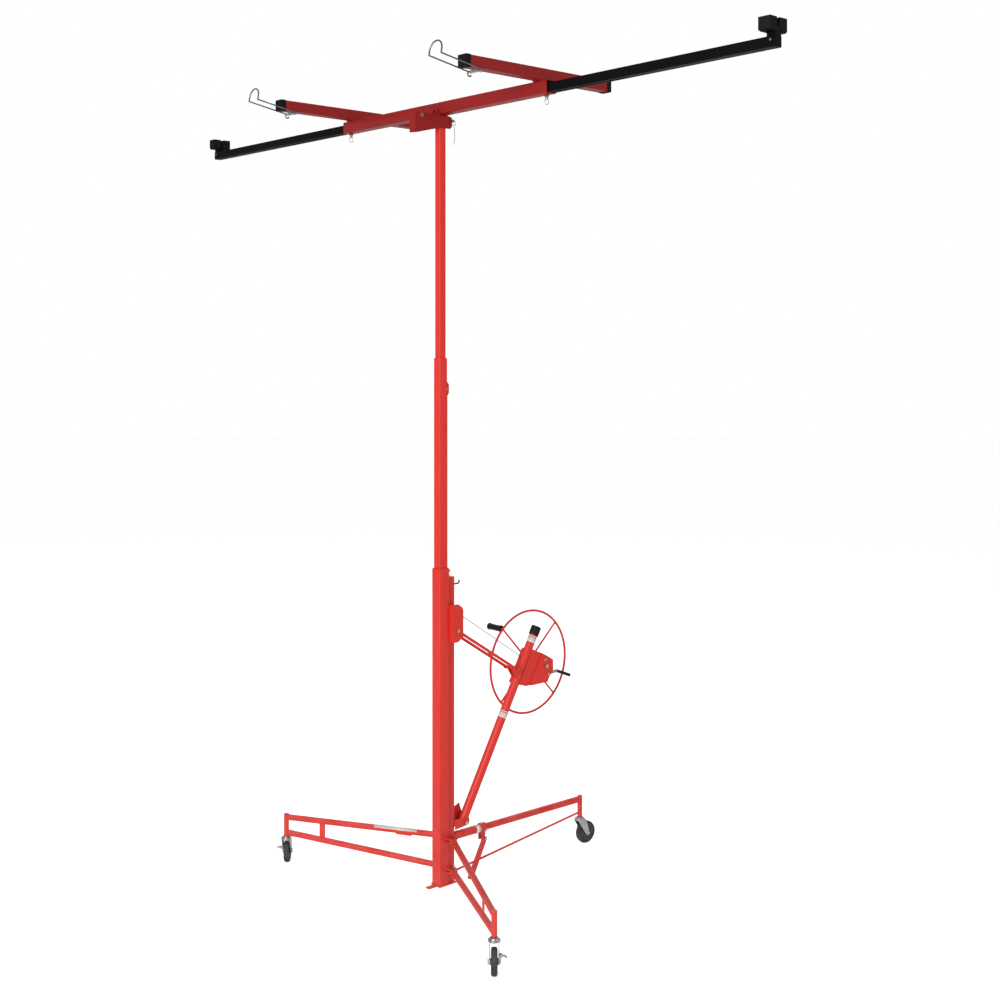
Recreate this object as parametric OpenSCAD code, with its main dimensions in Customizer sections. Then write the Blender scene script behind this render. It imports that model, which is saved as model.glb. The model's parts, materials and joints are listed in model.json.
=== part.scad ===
// Drywall lift: a three-leg folding base on swivel casters, a telescoping mast
// raised by a geared hand winch on a leaning tube, and a tilting cradle with
// pull-out arms, folding crossarms and wire hooks.
// Heights are above the floor. X runs along the cradle beam, the hooks are at -Y
// and the winch is at +Y. placed() puts the origin under the mast foot.

/* [Mast] */
// Outer mast tube, width of the square
outer_w = 52; // [50:1:54]
// Height of the top of the outer mast tube
outer_top = 1353; // [1330:1:1380]
// Height of the top of the middle mast tube as shown
mid_top = 2231; // [2200:1:2260]
// Length of the middle mast tube
mid_len = 1231; // [1150:1:1240]
// Height of the top of the inner mast tube as shown
inner_top = 3205; // [3190:1:3220]
// Length of the inner mast tube
inner_len = 1215; // [1190:1:1230]

/* [Base] */
// Distance from the mast axis to each front caster
front_reach = 757; // [720:1:790]
// Angle of each front leg from straight ahead
front_angle = 65.6; // [60:0.1:68]
// Distance from the mast axis to the rear caster
rear_reach = 824; // [790:1:860]
// Caster wheel diameter
wheel_d = 100; // [96:1:102]
// Diameter of the leg tubes
leg_d = 25; // [22:1:26]

/* [Winch] */
// Lean of the winch tube from upright
lean = 29.5; // [28:0.1:30]
// Length of the winch tube from its foot bolt to its top
tube_len = 863; // [840:1:880]
// Hand wheel rim diameter, to the middle of the rod
rim_d = 458; // [430:1:470]

/* [Cradle] */
// Height of the middle of the cradle beam
beam_z = 3270; // [3265:1:3275]
// Half of the length of the beam tube
beam_half = 665; // [640:1:690]
// Distance from the mast axis to each crossarm
crossarm_x = 613; // [590:1:630]
// Reach of a crossarm in front of the beam
crossarm_front = 403; // [390:1:420]
// Reach of a crossarm behind the beam
crossarm_rear = 362; // [350:1:380]
// Reach of the left arm from the mast axis
left_reach = 1820; // [1790:1:1840]
// Reach of the right arm from the mast axis
right_reach = 1720; // [1700:1:1760]
// Length of each pull-out arm
arm_len = 1300; // [1260:1:1320]

/* [Hidden] */
$fn = 48;

RED = [0.84, 0.2, 0.16];
DARK_RED = [0.66, 0.13, 0.12];
BLACK = [0.07, 0.07, 0.07];
ZINC = [0.72, 0.74, 0.74];
WIRE = [0.5, 0.51, 0.52];
CREAM = [0.88, 0.86, 0.78];
GREY = [0.22, 0.22, 0.23];

// Fits: radial clearance of a running fit, and the space beside sliding parts
run = 0.05;
gap = 0.4;

// Mast
foot_h = 32;
outer_wall = 1.8;
mid_w = 40;
mid_wall = 1.6;
mid_y = -1;
inner_w = 32;
inner_wall = 2;
inner_y = -1.8;
bolt_r = 5;
cable_r = 1.6;
stage_cable_r = 1.2;
post_w = 34;
post_y = outer_w / 2 + post_w / 2;
post_top = 1312;

// Cable sheaves
main_sheave_y = 54;
main_sheave_z = 1140;
main_cable_y = 21.6;
main_sheave_r = main_sheave_y - main_cable_y;
mid_sheave_z = 2102;
stage_in_y = 15.8;
mid_sheave_r = 9.5;
mid_sheave_y = stage_in_y + mid_sheave_r;
stage_out_y = mid_sheave_y + mid_sheave_r;
anchor_z = outer_top - 10;

// Winch tube frame: z along the tube, y behind it
foot_y = 118;
foot_z = 268;
tube_r = 19;
shaft_s = 742;
shaft_b = 113;
shaft_r = 8;
drum_s = 702;
drum_b = 86.4;
drum_x = -30;
drum_r = 24;
pinion_teeth = 12;
gear_teeth = 36;
module_mm = 2;
wheel_x = -85;
near_x = 19;
far_x = -60;
plate_t = 2.5;
crease_b = 72;
joggle = 8;
brace_s = 665;
brace_off = 50;
crank_turn = 43;
// Direction from the drum to the hand wheel shaft, where the gears mesh
mesh_dir = atan2(shaft_s - drum_s, shaft_b - drum_b);

// Brace hook bolt on the mast bracket
hook_bolt_y = 58;
hook_bolt_z = 1090;
bracket_x = 40;
bar_x = 34;

// The brace's lower bolt, worked out from the winch tube
brace_y = foot_y + brace_s * sin(lean) - brace_off * cos(lean);
brace_z = foot_z + brace_s * cos(lean) + brace_off * sin(lean);
brace_len = norm([brace_y - hook_bolt_y, brace_z - hook_bolt_z]);
brace_dir = atan2(hook_bolt_z - brace_z, hook_bolt_y - brace_y);

// Rear leg line
rear_start_y = 60;
rear_start_z = 218;
rear_end_z = 206;
rear_drop = atan2(rear_start_z - rear_end_z, rear_reach - rear_start_y);
socket_len = 182;
socket_r = 17;
rear_tube_r = 14;

// Front legs
hinge_x = 45;
hinge_y = 30;
caster_x = front_reach * sin(front_angle);
caster_y = -front_reach * cos(front_angle);
leg_len = norm([caster_x - hinge_x, caster_y - hinge_y]);
leg_dir = atan2(caster_y - hinge_y, caster_x - hinge_x);
eye_hi_z = 218;
eye_lo_z = 92;
leg_hi_end = 208;
leg_lo_end = 141;
eye_t = 8;
eye_r = 15;

// Casters
post_r = 11;
stem_r = 6;
post_lo = 127;
post_hi = 222;
wheel_r = wheel_d / 2;
trail = 32;
left_yaw = 138;
right_yaw = 318;
rear_yaw = 83;

// Cradle
beam_w = 50;
beam_wall = 2;
arm_w = 36;
arm_wall = 2.5;
arm_z = beam_z - beam_w / 2 + beam_wall + gap + arm_w / 2;
crossarm_w = 44;
cap_w = crossarm_w + 3;
crossarm_z = beam_z + beam_w / 2 + 4 + crossarm_w / 2;
rest_z = crossarm_z + cap_w / 2;
pad_z = rest_z - 44;
tilt_y = -118;
tilt_z = 3232;
latch_y = 34;
latch_z = 3220;
cheek_x = 16.05;
rod_r = 3;
hook_pivot_y = -330;
hook_rise = 10;
hook_pivot_z = crossarm_z - crossarm_w / 2 - 4.5;

// ---- helpers -------------------------------------------------------------

// Everything is drawn above the floor and then hung from the mast foot
module placed() {
  translate([0, 0, -foot_h]) children();
}

// The winch tube's own frame
module on_tube() {
  translate([0, foot_y, foot_z]) rotate([-lean, 0, 0]) children();
}

// A front leg's own frame: x along the leg, z above the floor
module on_right_leg() {
  translate([hinge_x, hinge_y, 0]) rotate([0, 0, leg_dir]) children();
}

module rod_x(r, x0, x1) {
  translate([x0, 0, 0]) rotate([0, 90, 0]) cylinder(r = r, h = x1 - x0);
}

module rod_y(r, y0, y1) {
  translate([0, y0, 0]) rotate([-90, 0, 0]) cylinder(r = r, h = y1 - y0);
}

// A straight rod between two points
module rod(a, b, r) {
  v = b - a;
  translate(a) rotate([0, acos(v[2] / norm(v)), atan2(v[1], v[0])])
    cylinder(r = r, h = norm(v));
}

// A straight tube between two points, closed at both ends
module tube(a, b, r, wall) {
  v = (b - a) / norm(b - a);
  difference() {
    rod(a, b, r);
    rod(a + 3 * v, b - 3 * v, r - wall);
  }
}

// Upright square tube centred on the mast axis
module mast_tube(w, wall, z0, z1) {
  translate([0, 0, z0]) linear_extrude(z1 - z0) difference() {
    square(w, center = true);
    square(w - 2 * wall, center = true);
  }
}

// Square tube along X
module beam_tube(w, wall, x0, x1) {
  translate([x0, 0, 0]) rotate([90, 0, 90]) linear_extrude(x1 - x0)
    difference() {
      square(w, center = true);
      square(w - 2 * wall, center = true);
    }
}

// Hexagon bolt along X with a head outside x1 and a nut outside x0
module bolt_x(r, x0, x1) {
  rod_x(r, x0 - 1.7 * r, x1);
  translate([x1, 0, 0]) rotate([0, 90, 0]) cylinder(r = 1.8 * r, h = 1.2 * r, $fn = 6);
  translate([x0 - 1.4 * r, 0, 0]) rotate([0, 90, 0])
    cylinder(r = 1.8 * r, h = 1.4 * r, $fn = 6);
}

// Plate in the YZ plane from a list of [y, z] points
module plate_x(points, x0, t) {
  translate([x0, 0, 0]) rotate([90, 0, 90]) linear_extrude(t) polygon(points);
}

// Spur gear along X with straight-sided teeth, one tooth at the angle turn
module gear_x(teeth, x0, width, turn) {
  pitch_r = module_mm * teeth / 2;
  root = pitch_r - 1.15 * module_mm;
  tip = pitch_r + 0.8 * module_mm;
  translate([x0, 0, 0]) rotate([90, 0, 90]) linear_extrude(width) union() {
    circle(root);
    for (i = [0 : teeth - 1]) rotate(turn + i * 360 / teeth)
      polygon([[root - 1, -1.9], [root, -1.9], [pitch_r, -1.35], [tip, -0.6],
        [tip, 0.6], [pitch_r, 1.35], [root, 1.9], [root - 1, 1.9]]);
  }
}

// A sheave turning on an axle along X
module sheave(rim_r, groove_r, width, bore_r) {
  half = width / 2;
  rotate([0, 90, 0]) rotate_extrude() polygon([[bore_r, -half], [rim_r, -half],
    [rim_r, -half + 0.8], [groove_r, -0.6], [groove_r, 0.6], [rim_r, half - 0.8],
    [rim_r, half], [bore_r, half]]);
}

// Split ring of a pull pin, in the plane across X
module pull_ring(r) {
  rotate([0, 90, 0]) rotate_extrude() translate([r, 0]) circle(1.2, $fn = 24);
}

// ---- mast ----------------------------------------------------------------

module outer_mast() {
  color(RED) difference() {
    mast_tube(outer_w, outer_wall, foot_h + 4, outer_top);
    translate([-8, 20, main_sheave_z - 45]) cube([16, 10, 90]);
  }
  color(RED) translate([-9, outer_w / 2, anchor_z - 8]) cube([18, 18, 8]);
  color(ZINC) translate([0, stage_out_y, anchor_z]) difference() {
    cylinder(r = 3, h = 10);
    translate([0, 0, 2]) cylinder(r = stage_cable_r + 0.05, h = 20);
  }
}

// Foot plate with its toe bar, and the four pairs of leg lugs
module mast_foot() {
  color(RED) {
    translate([-30, -30, foot_h]) cube([60, 92, 4]);
    translate([-12, -72, foot_h]) cube([24, 42, 4]);
    for (side = [0, 1], z = [eye_hi_z, eye_lo_z], up = [-1, 1])
      mirror([side, 0, 0]) translate([0, 0, z + up * (eye_t / 2 + 2.5) - 2])
        leg_lug();
  }
}

module leg_lug() {
  difference() {
    linear_extrude(4) polygon([[outer_w / 2, 6], [48, 14], [60, 22], [60, 40],
      [50, 48], [post_w / 2, 58], [post_w / 2, outer_w / 2], [outer_w / 2, outer_w / 2]]);
    translate([hinge_x, hinge_y, -1]) cylinder(r = bolt_r + 0.02, h = 6);
  }
}

// Square post behind the mast, with a wire storage hook near its top
module rear_post() {
  color(RED) difference() {
    translate([0, post_y, 0]) mast_tube(post_w, 2, foot_h + 4, post_top);
    translate([-8, outer_w / 2 - 1, main_sheave_z - 45]) cube([16, post_w + 2, 90]);
    translate([0, hook_bolt_y, hook_bolt_z]) rod_x(bolt_r + 0.1, -40, 40);
    translate([0, main_sheave_y, main_sheave_z]) rod_x(4.1, -40, 40);
  }
  color(DARK_RED) translate([0, post_y, post_top]) linear_extrude(2)
    square(post_w, center = true);
  color(BLACK) translate([0, 0, post_top - 33]) {
    rod_y(rod_r, post_y + post_w / 2, 92);
    translate([0, 92, 8]) rotate([0, 90, 0])
      rotate_extrude(angle = 90) translate([8, 0]) circle(rod_r, $fn = 24);
    translate([0, 100, 8]) cylinder(r = rod_r, h = 4);
    translate([0, 100, 12]) sphere(rod_r, $fn = 24);
  }
}

// Two angle plates on the post that carry the main sheave and the brace bolt
module upper_bracket() {
  outline = [[outer_w / 2, 1041], [60, 1041], [88, 1061], [88, 1174], [81, 1186],
    [60, 1200], [outer_w / 2, 1200]];
  color(RED) for (side = [0, 1]) mirror([side, 0, 0]) {
    difference() {
      union() {
        plate_x(outline, bracket_x, 3);
        translate([post_w / 2, outer_w / 2, 1041])
          cube([bracket_x + 1 - post_w / 2, 3, 159]);
      }
      translate([0, hook_bolt_y, hook_bolt_z]) rod_x(bolt_r + 0.02, 20, 50);
    }
  }
}

// U-shaped foot that holds the lower end of the winch tube
module foot_bracket() {
  near = [[60, 250], [128, 256], [138, 264], [138, 284], [131, 292], [60, 292]];
  far = [[60, 250], [128, 256], [138, 264], [138, 282], [118, 342], [60, 318]];
  color(RED) {
    difference() {
      union() {
        plate_x(near, 20.5, 3);
        plate_x(far, -23.5, 3);
      }
      translate([0, foot_y, foot_z]) rod_x(bolt_r + 0.02, -40, 40);
    }
    translate([-20.5, 60, 262]) cube([41, 3, 24]);
  }
}

// World [y, z] of a point given along and above the rear leg line
function rear_point(y, z) = [rear_start_y + y * cos(rear_drop) + z * sin(rear_drop),
  rear_start_z - y * sin(rear_drop) + z * cos(rear_drop)];

module on_rear_leg() {
  translate([0, rear_start_y, rear_start_z]) rotate([-rear_drop, 0, 0]) children();
}

// Socket tube welded to the post, with the collar and lugs of the kick strut
module rear_socket() {
  color(RED) on_rear_leg() difference() {
    union() {
      rod_y(socket_r, 0.5, socket_len);
      rod_y(socket_r + 4, socket_len - 26, socket_len);
      for (x = [-14, 4]) translate([x, socket_len - 22, -52]) cube([4, 20, 36]);
    }
    rod_y(rear_tube_r + 0.05, 20, socket_len + 1);
    translate([0, socket_len - 12, 0]) rod_x(3.1, -30, 30);
    translate([0, socket_len - 12, -42]) rod_x(4.02, -30, 30);
  }
}

// Rear leg tube with its caster post and the thin brace rod below
module rear_leg() {
  color(RED) difference() {
    union() {
      on_rear_leg() rod_y(rear_tube_r, 60, rear_reach - rear_start_y - 4);
      translate([0, rear_reach, post_lo]) cylinder(r = post_r, h = post_hi - post_lo);
      rod([0, 84, 70], [0, rear_reach - 6, 146], 4.5);
      translate([-4, 64, 60]) cube([8, 24, 16]);
    }
    on_rear_leg() rod_y(rear_tube_r - 2, 50, rear_reach - rear_start_y - 30);
    on_rear_leg() translate([0, socket_len - 12, 0]) rod_x(3.1, -30, 30);
    translate([0, rear_reach, 0]) cylinder(r = stem_r + run, h = 200);
    translate([0, 72, 68]) rod_x(3.02, -20, 20);
  }
}

// Bolts of the base frame: leg hinges, sheave axle, brace hook and tube foot
module frame_bolts() {
  color(ZINC) {
    for (side = [0, 1], z = [eye_hi_z, eye_lo_z]) mirror([side, 0, 0])
      translate([hinge_x, hinge_y, z]) {
        translate([0, 0, -16]) cylinder(r = bolt_r, h = 26);
        translate([0, 0, 8.6]) cylinder(r = 9, h = 6, $fn = 6);
        translate([0, 0, -16]) cylinder(r = 9, h = 7.4, $fn = 6);
      }
    translate([0, main_sheave_y, main_sheave_z]) {
      rod_x(4, -20, 20);
      for (x = [-20, 17]) rod_x(7, x, x + 3);
      for (x = [-bracket_x - 7, bracket_x + 3]) translate([x, 0, 0]) rotate([0, 90, 0])
        cylinder(r = 7, h = 4, $fn = 6);
    }
    translate([0, hook_bolt_y, hook_bolt_z]) bolt_x(bolt_r, -bracket_x - 3, bracket_x + 3);
    translate([0, foot_y, foot_z]) bolt_x(bolt_r, -23.5, 23.5);
    on_rear_leg() translate([0, socket_len - 12, -42]) bolt_x(4, -14, 21.5);
    translate([0, 72, 68]) bolt_x(3, -9, 9);
  }
  color(RED) for (x = [-8, 4.5])
    translate([x, 60, 58]) difference() {
      cube([3.5, 20, 20]);
      translate([0, 12, 10]) rod_x(3.02, -5, 20);
    }
}

// Plastic glides fixed inside the top of the outer mast
module mast_glides() {
  in_w = outer_w - 2 * outer_wall;
  color(CREAM) translate([0, 0, outer_top - 62]) linear_extrude(60) difference() {
    square(in_w, center = true);
    translate([0, mid_y]) square(mid_w + 2 * gap, center = true);
  }
}

module mid_mast() {
  color(RED) difference() {
    translate([0, mid_y, 0]) mast_tube(mid_w, mid_wall, mid_top - mid_len, mid_top);
    translate([-4.5, 10, mid_sheave_z - 16]) cube([9, 12, 32]);
  }
  color(CREAM) translate([0, mid_y, mid_top - 52]) linear_extrude(50) difference() {
    square(mid_w - 2 * mid_wall, center = true);
    translate([0, inner_y - mid_y]) square(inner_w + 2 * gap, center = true);
    translate([-3, 10]) square([6, 12]);
  }
  color(ZINC) translate([0, main_cable_y, mid_top - mid_len]) difference() {
    translate([-5, -2.7, 0]) cube([10, 4.8, 14]);
    translate([0, 0, -1]) cylinder(r = cable_r + 0.1, h = 20);
  }
}

// Cheeks and axle of the sheave behind the middle mast
module sheave_bracket() {
  back = mid_y + mid_w / 2;
  color(RED) for (side = [0, 1]) mirror([side, 0, 0]) difference() {
    plate_x([[back, 2070], [back + 12, 2074], [back + 19, 2086], [back + 19, 2118],
      [back + 12, 2130], [back, 2134]], 5.5, 2.5);
    translate([0, mid_sheave_y, mid_sheave_z]) rod_x(2.52, 0, 20);
  }
  color(ZINC) translate([0, mid_sheave_y, mid_sheave_z]) bolt_x(2.5, -8, 8);
}

module inner_mast() {
  color(RED) translate([0, inner_y, 0])
    mast_tube(inner_w, inner_wall, inner_top - inner_len, inner_top);
  color(ZINC) translate([-4, stage_in_y - 1.6, inner_top - inner_len])
    difference() {
      cube([8, 2.5, 12]);
      translate([4, 1.6, -1]) cylinder(r = stage_cable_r + 0.1, h = 20);
    }
}

module main_sheave() {
  color(CREAM) translate([0, main_sheave_y, main_sheave_z])
    sheave(main_sheave_r + 1.5, main_sheave_r - cable_r - gap, 9, 4 + run);
}

module mid_sheave() {
  color(CREAM) translate([0, mid_sheave_y, mid_sheave_z])
    sheave(mid_sheave_r + 1, mid_sheave_r - stage_cable_r - gap, 7, 2.5 + run);
}

// ---- cables --------------------------------------------------------------

// From the winch drum up to the main sheave and a third of the way round it
module lift_cable() {
  drum_at = tube_point(drum_s, drum_b);
  span = [main_sheave_y, main_sheave_z] - drum_at;
  up = atan2(-span[0], span[1]);
  off = [cos(up), sin(up)];
  low = drum_at + (drum_r + 2 * cable_r + gap) * off;
  high = [main_sheave_y, main_sheave_z] + main_sheave_r * off;
  color(WIRE) {
    rod([drum_x, low[0], low[1]], [0, high[0], high[1]], cable_r);
    translate([0, main_sheave_y, main_sheave_z]) rotate([90, 0, 90])
      rotate([0, 0, up + 1]) rotate_extrude(angle = 179 - up)
        translate([main_sheave_r, 0]) circle(cable_r, $fn = 16);
  }
}

// World [y, z] of a point given along and behind the winch tube
function tube_point(s, b) = [foot_y + s * sin(lean) + b * cos(lean),
  foot_z + s * cos(lean) - b * sin(lean)];

// From the main sheave down to the bottom of the middle mast
module mid_lift_cable() {
  low = mid_top - mid_len + 4;
  color(WIRE) translate([0, main_cable_y, low])
    cylinder(r = cable_r, h = main_sheave_z - low);
}

// From the anchor on the outer mast up to the middle mast's sheave
module stage_cable() {
  color(WIRE) translate([0, stage_out_y, anchor_z + 2])
    cylinder(r = stage_cable_r, h = mid_sheave_z - anchor_z - 2);
}

// From the middle mast's sheave down to the bottom of the inner mast
module inner_lift_cable() {
  low = inner_top - inner_len + 3;
  color(WIRE) translate([0, stage_in_y, low])
    cylinder(r = stage_cable_r, h = mid_sheave_z - low);
}

// ---- winch ---------------------------------------------------------------

module winch_tube() {
  color(RED) on_tube() {
    difference() {
      union() {
        translate([0, 0, -9]) cylinder(r = tube_r, h = tube_len + 9);
        for (x = [-14, 10]) translate([x, 0, 0])
          plate_x([[-tube_r + 4, brace_s - 34], [-brace_off - 4, brace_s - 13],
            [-brace_off - 11, brace_s - 4], [-brace_off - 11, brace_s + 4],
            [-brace_off - 4, brace_s + 11], [-tube_r + 4, brace_s + 20]], 0, 4);
      }
      translate([0, 0, -13]) cylinder(r = tube_r - 2, h = tube_len + 20);
      rod_x(bolt_r + run, -30, 30);
      translate([0, -brace_off, brace_s]) rod_x(bolt_r + 0.02, -30, 30);
    }
  }
}

// Ribbed plastic cap pushed over the top of the winch tube
module tube_cap() {
  color(BLACK) on_tube() difference() {
    union() {
      translate([0, 0, tube_len - 24]) cylinder(r = tube_r + 2.5, h = 40);
      for (i = [0 : 3]) translate([0, 0, tube_len - 22 + i * 9])
        cylinder(r = tube_r + 3.6, h = 4.5);
    }
    translate([0, 0, tube_len - 26]) cylinder(r = tube_r + 0.02, h = 26.05);
  }
}

// Folded winch housing: a web behind the tube and two side plates
module winch_housing() {
  front = [[6, 616], [45, 621], [crease_b, 636], [crease_b, 784], [6, 778]];
  rear = [[crease_b, 636], [156, 683], [156, 709], [165, 740], [139, 783],
    [crease_b, 784]];
  far = [[20, 616], [45, 621], [156, 683], [156, 709], [165, 740], [139, 783],
    [75, 784], [20, 778]];
  color(RED) on_tube() difference() {
    union() {
      plate_x(front, near_x, plate_t);
      plate_x(rear, near_x + joggle, plate_t);
      plate_x([[crease_b - 1.5, 635], [crease_b + 1.5, 637], [crease_b + 1.5, 784],
        [crease_b - 1.5, 784]], near_x, joggle + plate_t);
      plate_x(far, far_x, plate_t);
      translate([far_x, tube_r + 0.3, 616]) cube([near_x - far_x + plate_t, plate_t, 162]);
      translate([far_x, 60, 781.5]) cube([near_x - far_x, 50, plate_t]);
    }
    translate([-50, tube_r - 1, 720]) cube([38, 6, 24]);
    translate([0, shaft_b, shaft_s]) rod_x(shaft_r + run, -80, 50);
    translate([0, drum_b, drum_s]) rod_x(7 + run, -80, 50);
    translate([0, 91, 764]) rod_x(4.02, -80, 50);
    translate([0, 143, 716]) rod_x(4.02, -80, 50);
  }
}

// Bolts of the winch: brace, pawl, lever and housing spacers
module winch_bolts() {
  outside = near_x + joggle + plate_t;
  color(ZINC) on_tube() {
    translate([0, -brace_off, brace_s]) {
      bolt_x(bolt_r, -bar_x - 6, bar_x + 6);
      for (side = [0, 1]) mirror([side, 0, 0]) rod_x(8, 14.3, bar_x - 0.5);
    }
    translate([0, 91, 764]) bolt_x(4, far_x, outside);
    translate([0, 143, 716]) bolt_x(4, far_x, outside);
  }
}

// Cable drum with its gear, on its own shaft
module drum() {
  color(ZINC) on_tube() translate([0, drum_b, drum_s]) {
    rod_x(7, far_x - 4, near_x + joggle + plate_t + 0.3);
    translate([drum_x, 0, 0]) {
      rod_x(drum_r - cable_r, -17, 17);
      rod_x(33, -19, -17);
      rod_x(33, 17, 19);
    }
    gear_x(gear_teeth, -8, 9, mesh_dir);
  }
  color(WIRE) on_tube() translate([drum_x, drum_b, drum_s])
    for (i = [-4 : 4]) translate([i * 3.4, 0, 0]) rotate([0, 90, 0])
      rotate_extrude() translate([drum_r, 0]) circle(cable_r, $fn = 16);
}

// Hand wheel: a rod rim, four rod spokes and a hub
module hand_wheel() {
  color(RED) on_tube() translate([wheel_x, shaft_b, shaft_s]) {
    difference() {
      union() {
        rotate([0, 90, 0]) rotate_extrude($fn = 96) translate([rim_d / 2, 0])
          circle(5, $fn = 32);
        rod_x(20, -14, 16);
        for (a = [0 : 90 : 270]) rotate([a + lean + crank_turn, 0, 0])
          translate([0, 0, 16]) cylinder(r = 4, h = rim_d / 2 - 17);
      }
      rod_x(shaft_r + 0.02, -20, 20);
    }
    rotate([lean + crank_turn, 0, 0]) translate([0, 0, rim_d / 2]) rod_x(5, -96, -3);
    rotate([lean + crank_turn, 0, 0]) translate([0, 0, rim_d / 2]) rod_x(8, -96, -93);
  }
}

// Hand wheel shaft with its pinion and ratchet wheel
module wheel_shaft() {
  color(ZINC) on_tube() translate([0, shaft_b, shaft_s]) {
    rod_x(shaft_r, wheel_x - 22, near_x + joggle + plate_t + 7);
    translate([near_x + joggle + plate_t + 1, 0, 0]) rotate([0, 90, 0])
      cylinder(r = 10, h = 7, $fn = 6);
    translate([wheel_x - 24, 0, 0]) rotate([0, 90, 0]) cylinder(r = 13, h = 8, $fn = 6);
    gear_x(pinion_teeth, -8, 9, mesh_dir + 180 + 180 / pinion_teeth);
    translate([10, 0, 0]) rotate([90, 0, 90]) linear_extrude(6) union() {
      circle(15);
      for (i = [0 : 11]) rotate(i * 30) polygon([[12, 0], [20, 0], [15, 8], [11, 6]]);
    }
  }
}

module crank_grip() {
  color(BLACK) on_tube() translate([wheel_x, shaft_b, shaft_s])
    rotate([lean + crank_turn, 0, 0]) translate([0, 0, rim_d / 2]) difference() {
      union() {
        rod_x(13, -90, -10);
        rod_x(15, -92, -84);
        rod_x(15, -14, -8);
      }
      rod_x(5 + run, -100, 0);
    }
}

// Brake lever through the back of the housing, with a round grip
module brake_lever() {
  color(ZINC) on_tube() difference() {
    union() {
      plate_x([[136, 709], [150, 711], [196, 742], [193, 756], [150, 728],
        [136, 723]], 18, 4);
      translate([20, 190, 748]) rotate([-82, 0, 0]) cylinder(r = 4, h = 40);
    }
    translate([0, 143, 716]) rod_x(4 + run, -80, 50);
  }
  color(BLACK) on_tube() translate([20, 198, 749]) rotate([-82, 0, 0]) difference() {
    cylinder(r = 7, h = 84);
    translate([0, 0, -1]) cylinder(r = 4.02, h = 33);
  }
}

// Pawl above the ratchet wheel, lifted clear as shown
module pawl() {
  color(ZINC) on_tube() difference() {
    union() {
      translate([0, 91, 764]) rod_x(8, 10.5, 15.5);
      plate_x([[86, 770], [85, 777], [90, 778], [96, 770]], 10.5, 5);
      plate_x([[90, 758], [97.5, 756.5], [98, 764]], 10.5, 5);
    }
    translate([0, 91, 764]) rod_x(4 + run, -80, 50);
  }
}

// Pair of brace bars with open jaws that drop over the hook bolt
module brace_bars() {
  color(RED) translate([0, brace_y, brace_z]) rotate([brace_dir, 0, 0]) difference() {
    union() {
      for (side = [0, 1]) mirror([side, 0, 0]) {
        translate([bar_x, 0, -6]) cube([4, brace_len, 12]);
        translate([bar_x, 0, 0]) rod_x(8, 0, 4);
        translate([bar_x, brace_len, 0]) rod_x(11, 0, 4);
      }
      translate([0, brace_len - 254, 0]) rod_x(3, -bar_x - 1, bar_x + 1);
    }
    rod_x(bolt_r + run, -50, 50);
    translate([0, brace_len, 0]) rod_x(bolt_r + 0.4, -50, 50);
    translate([0, brace_len, 0]) rotate([-brace_dir, 0, 0])
      translate([-40, -bolt_r - 0.6, -30]) cube([80, 2 * bolt_r + 3.2, 30]);
  }
}

// ---- cradle --------------------------------------------------------------

// Head welded on the inner mast: a forward channel that carries the tilt bolt
module mast_head() {
  cheek = [[-150, 3160], [-150, 3238], [-145, 3243], [30, 3243], [46, 3236],
    [46, 3200], [36, 3190], [-18, 3190], [-112, 3166]];
  color(DARK_RED) difference() {
    union() {
      for (side = [0, 1]) mirror([side, 0, 0]) plate_x(cheek, cheek_x, 3);
      translate([-cheek_x, -150, 3160]) cube([2 * cheek_x, 3, 79]);
      translate([-cheek_x, inner_y - 18, inner_top]) cube([2 * cheek_x, 36, 4]);
      translate([cheek_x + 2, latch_y, latch_z]) rod_x(8, 0, 7);
    }
    translate([0, tilt_y, tilt_z]) rod_x(bolt_r + 0.02, -40, 40);
    translate([0, latch_y, latch_z]) rod_x(4 + run, 10, 40);
  }
  color(ZINC) translate([0, tilt_y, tilt_z]) bolt_x(bolt_r, -cheek_x - 3, cheek_x + 3);
}

// The beam with its two crossarm seats
module cradle_beam() {
  color(DARK_RED) difference() {
    union() {
      translate([0, 0, beam_z]) beam_tube(beam_w, beam_wall, -beam_half, beam_half);
      for (side = [-1, 1]) translate([side * crossarm_x, 0, beam_z - beam_w / 2 - 9])
        translate([side * 26, 0, 0]) cylinder(r = 9, h = 9.5);
    }
    for (side = [-1, 1]) {
      translate([side * crossarm_x, 0, beam_z]) cylinder(r = 6.02, h = 40);
      translate([side * (crossarm_x + 26), 0, beam_z - 40]) cylinder(r = 4.2, h = 30);
    }
  }
}

// Tilt bracket welded under the beam, inside the head's channel
module tilt_bracket() {
  beam_low = beam_z - beam_w / 2;
  side_plate = [[tilt_y - 13, tilt_z - 8], [tilt_y - 13, tilt_z + 8],
    [tilt_y - 8, tilt_z + 11], [-44, 3243], [-25, beam_low + 26],
    [-25, beam_low], [25, beam_low], [44, 3240], [44, 3211], [-60, 3212],
    [tilt_y - 4, tilt_z - 14]];
  color(DARK_RED) difference() {
    union() {
      for (side = [0, 1]) mirror([side, 0, 0]) plate_x(side_plate, 11, 4);
      translate([-12, -42, beam_low]) cube([24, 17, 4]);
    }
    translate([0, tilt_y, tilt_z]) rod_x(bolt_r + run, -50, 50);
    translate([0, latch_y, latch_z]) rod_x(4.4, -50, 50);
  }
}

// Crossarm pivot bolts through the top of the beam
module cradle_bolts() {
  head_z = crossarm_z - crossarm_w / 2 + 2 + gap;
  color(ZINC) for (side = [-1, 1]) translate([side * crossarm_x, 0, 0]) {
    translate([0, 0, beam_z + 22.9]) cylinder(r = 6, h = head_z - beam_z - 22);
    translate([0, 0, head_z]) cylinder(r = 10, h = 6, $fn = 6);
  }
}

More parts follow.
